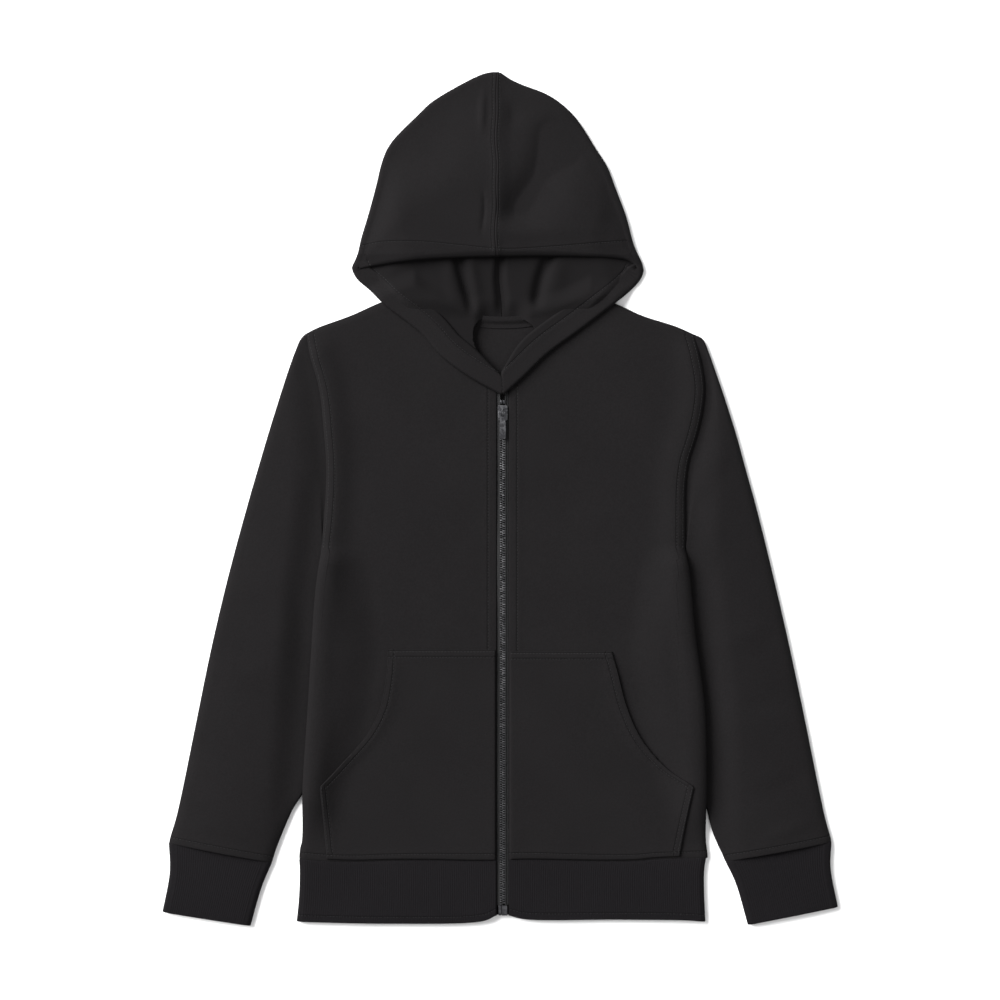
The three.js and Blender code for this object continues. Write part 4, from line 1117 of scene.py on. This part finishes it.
# Neck tape over the seam between hood and back.
def make_neck_tape():
    x = np.linspace(-31, 38, 40)[:, None]
    across = np.linspace(-7.5, 5.5, 14)[None, :]
    y = back_neck_y(x) + across
    z = 2.75 + 2.2 * ease(-3.5, 1.5, across) + 0 * x
    tape = shell("neck_tape", np.dstack([x + 0 * across, y, z]), 0.7)
    dress(tape, FLEECE)


make_neck_tape()


# Zip.
def from_ops(name):
    piece = bpy.context.object
    piece.name = piece.data.name = name
    return piece


def copies(name, template, places):
    """One mesh made of copies of a template, each moved and turned by a 4x4 matrix in metres."""
    points = np.array([tuple(v.co) + (1.0,) for v in template.data.vertices])
    polygons = [list(p.vertices) for p in template.data.polygons]
    places = np.asarray(places)
    moved = np.einsum("kij,nj->kni", places, points)[..., :3].reshape(-1, 3) / MM
    count = len(points)
    faces = [[k * count + i for i in f] for k in range(len(places)) for f in polygons]
    bpy.data.objects.remove(template)
    return mesh_piece(name, moved, faces)


def placed(x, y, z, turn=0.0):
    matrix = np.eye(4)
    matrix[:3, 3] = np.array([x, y, z]) * MM
    matrix[:2, :2] = [[math.cos(turn), -math.sin(turn)], [math.sin(turn), math.cos(turn)]]
    return matrix


def block(name, size, bevel):
    """A box with rounded edges, in millimetres, centred on the origin."""
    bpy.ops.mesh.primitive_cube_add(size=1)
    piece = from_ops(name)
    bpy.ops.object.mode_set(mode="EDIT")
    bpy.ops.mesh.select_all(action="SELECT")
    bpy.ops.transform.resize(value=tuple(v * MM for v in size))
    bpy.ops.mesh.bevel(offset=bevel * MM, segments=2, affect="EDGES")
    bpy.ops.object.mode_set(mode="OBJECT")
    return piece


TOOTH_PITCH = 2.6


def make_chain():
    low, high = ZIP_BOTTOM_Y + 12.5, SLIDER_Y + 1
    rows = np.arange(low, high, TOOTH_PITCH)
    tooth = block("tooth", (3.3, 1.45, 2.1), 0.42)
    places = []
    for y in rows:
        places.append(placed(ZIP_X - 1.3, y, CHAIN_Z + CHAIN_THICK / 2))
        places.append(placed(ZIP_X + 1.3, y + TOOTH_PITCH / 2, CHAIN_Z + CHAIN_THICK / 2, math.pi))
    chain = copies("zip_teeth", tooth, places)
    dress(chain, TEETH, node="zip_chain")


def make_tapes():
    for side, way in (("left", -1), ("right", 1)):
        profile = np.array([
            (2.6, 5.5), (2.9, 6.15), (3.3, 6.35), (3.7, 6.1), (4.0, 5.6), (5.2, 5.45), (6.35, 5.4),
        ])
        ys = np.linspace(ZIP_BOTTOM_Y + 11.3, ZIP_TOP_Y + 5, 150)
        grid = np.zeros((len(ys), len(profile), 3))
        grid[..., 0] = ZIP_X + way * profile[None, :, 0]
        grid[..., 1] = ys[:, None]
        grid[..., 2] = profile[None, :, 1] - 0.2
        tape = shell(f"woven_tape_{side}", grid, 0.55)
        dress(tape, TAPE, node=f"zip_tape_{side}")


def rounded_copy(node_name, name, bevel):
    """The CAD piece again, with its edges softened."""
    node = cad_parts[node_name]
    mesh = node.data.copy()
    piece = bpy.data.objects.new(name, mesh)
    bpy.context.scene.collection.objects.link(piece)
    bpy.ops.object.select_all(action="DESELECT")
    bpy.context.view_layer.objects.active = piece
    piece.select_set(True)
    bpy.ops.object.mode_set(mode="EDIT")
    bpy.ops.mesh.select_all(action="SELECT")
    bpy.ops.mesh.remove_doubles(threshold=0.00002)
    bpy.ops.mesh.dissolve_limited(angle_limit=math.radians(2))
    bpy.ops.mesh.normals_make_consistent(inside=False)
    bpy.ops.object.mode_set(mode="OBJECT")
    soft = piece.modifiers.new("bevel", "BEVEL")
    soft.width = bevel * MM
    soft.segments = 3
    soft.limit_method = "ANGLE"
    bpy.ops.object.modifier_apply(modifier="bevel")
    bpy.ops.object.shade_smooth_by_angle(angle=math.radians(40))
    return piece


HARDWARE = {
    "zip_slider": ("slider_body", 0.35, "garment"),
    "zip_pull_tab": ("pull_tab", 0.28, "pull_tab"),
    "zip_stop_left": ("top_stop_left", 0.4, "garment"),
    "zip_stop_right": ("top_stop_right", 0.4, "garment"),
    "zip_pin": ("insertion_pin", 0.4, "garment"),
    "zip_box": ("retainer_box", 0.4, "garment"),
}


def make_hardware():
    for node, (name, bevel, body) in HARDWARE.items():
        piece = rounded_copy(node, name, bevel)
        dress(piece, PLATED, body=body, node=node)


bpy.ops.object.select_all(action="DESELECT")
make_chain()
make_tapes()
make_hardware()


# Sewing.
def stitch_template():
    bpy.ops.mesh.primitive_uv_sphere_add(segments=6, ring_count=4, radius=0.5)
    piece = from_ops("stitch")
    bpy.ops.object.mode_set(mode="EDIT")
    bpy.ops.mesh.select_all(action="SELECT")
    bpy.ops.transform.rotate(value=math.pi / 2, orient_axis="Y", center_override=(0, 0, 0))
    bpy.ops.transform.resize(value=(2.7 * MM, 0.62 * MM, 0.5 * MM))
    bpy.ops.object.mode_set(mode="OBJECT")
    return piece


def sew(name, rows, find, pitch=3.5):
    """Straight stitches along plan lines, lying on the surface that find gives."""
    places = []
    for row in rows:
        line = Line(np.asarray(row, float))
        count = max(2, round(line.length / pitch))
        spots = line((np.arange(count) + 0.5) / count)
        ends = line(np.minimum(1, (np.arange(count) + 0.9) / count))
        for (x, y), (to_x, to_y) in zip(spots, ends):
            spot, normal = find(x, y)
            ahead, _ = find(to_x, to_y)
            if not spot or not ahead:
                continue
            way = (ahead - spot).normalized()
            if abs(way.z) > 0.8 or normal.z < 0.2:
                continue
            side = normal.cross(way).normalized()
            up = way.cross(side)
            matrix = np.eye(4)
            matrix[:3, 0], matrix[:3, 1], matrix[:3, 2] = way, side, up
            matrix[:3, 3] = (spot + up * 0.02) * MM
            places.append(matrix)
    piece = copies(name, stitch_template(), places)
    return dress(piece, THREAD)


def sew_all():
    parts = {"front": fronts, "pocket": pockets, "hem": hems, "sleeve": sleeves, "hood": hood}
    for side in SIDE_LINES:
        for name, made in parts.items():
            made = made[side]
            sew(f"{name}_stitches_{side}", made["rows"], surface_of(made["piece"]))


sew_all()


# Cloth as it was cut: piece, width, length, flat area (square metres), what it lies on.
def declare_sheets():
    rows = [
        ("back_panel", 0.45, 0.62, 0.252, ["sleeve_tube_left", "sleeve_tube_right"]),
        ("hem_band_back", 0.45, 0.075, 0.032, ["back_panel"]),
        ("neck_tape", 0.075, 0.016, 0.0011, ["back_panel"]),
    ]
    for side in SIDE_LINES:
        front = f"front_panel_{side}"
        rows += [
            (front, 0.225, 0.62, 0.118, ["back_panel"]),
            (f"pocket_panel_{side}", 0.205, 0.23, 0.036, [front]),
            (f"hem_band_{side}", 0.225, 0.075, 0.016, ["hem_band_back"]),
            (f"sleeve_tube_{side}", 0.37, 0.62, 0.112, ["studio_floor"]),
            (f"cuff_band_{side}", 0.22, 0.07, 0.014, [f"sleeve_tube_{side}"]),
            (f"hood_half_{side}", 0.31, 0.41, 0.066, ["back_panel", front]),
            (f"woven_tape_{side}", 0.012, 0.59, 0.0023, ["zip_teeth"]),
        ]
    for name, width, length, area, under in rows:
        part, side = name.split("_")[0], name.split("_")[-1]


declare_sheets()


# Floor, light and camera.
def make_floor():
    corners = [(x * 6000, y * 6000, -0.3) for x, y in ((-1, -1), (1, -1), (1, 1), (-1, 1))]
    floor = mesh_piece("studio_floor", corners, [(0, 1, 2, 3)])
    floor.data.materials.append(floor_material())


def area_light(name, size, energy, place, target):
    light = bpy.data.lights.new(name, "AREA")
    light.size = size
    light.energy = energy
    lamp = bpy.data.objects.new(name, light)
    lamp.location = place
    lamp.rotation_mode = "QUATERNION"
    lamp.rotation_quaternion = (Vector(target) - Vector(place)).to_track_quat("-Z", "Y")
    bpy.context.scene.collection.objects.link(lamp)


LENS = 85
SENSOR = 36
SHOWN_WIDTH = 1.1


def make_studio():
    make_floor()
    area_light("key", 7.0, 3900, (-7.6, 5.0, 5.8), (0, 0, 0))
    area_light("fill", 3.0, 30, (0.6, -0.4, 3.4), (0, 0, 0))
    world = bpy.data.worlds.new("studio")
    world.use_nodes = True
    background = world.node_tree.nodes["Background"].inputs
    background["Color"].default_value = (1, 1, 1, 1)
    background["Strength"].default_value = 0.48
    scene = bpy.context.scene
    scene.world = world
    scene.view_settings.view_transform = "Standard"
    scene.view_settings.look = "None"
    camera = bpy.data.cameras.new("camera")
    camera.lens = LENS
    camera.sensor_width = SENSOR
    spot = bpy.data.objects.new("camera", camera)
    spot.location = (0, -0.0011, SHOWN_WIDTH * LENS / SENSOR)
    scene.collection.objects.link(spot)
    scene.camera = spot


make_studio()
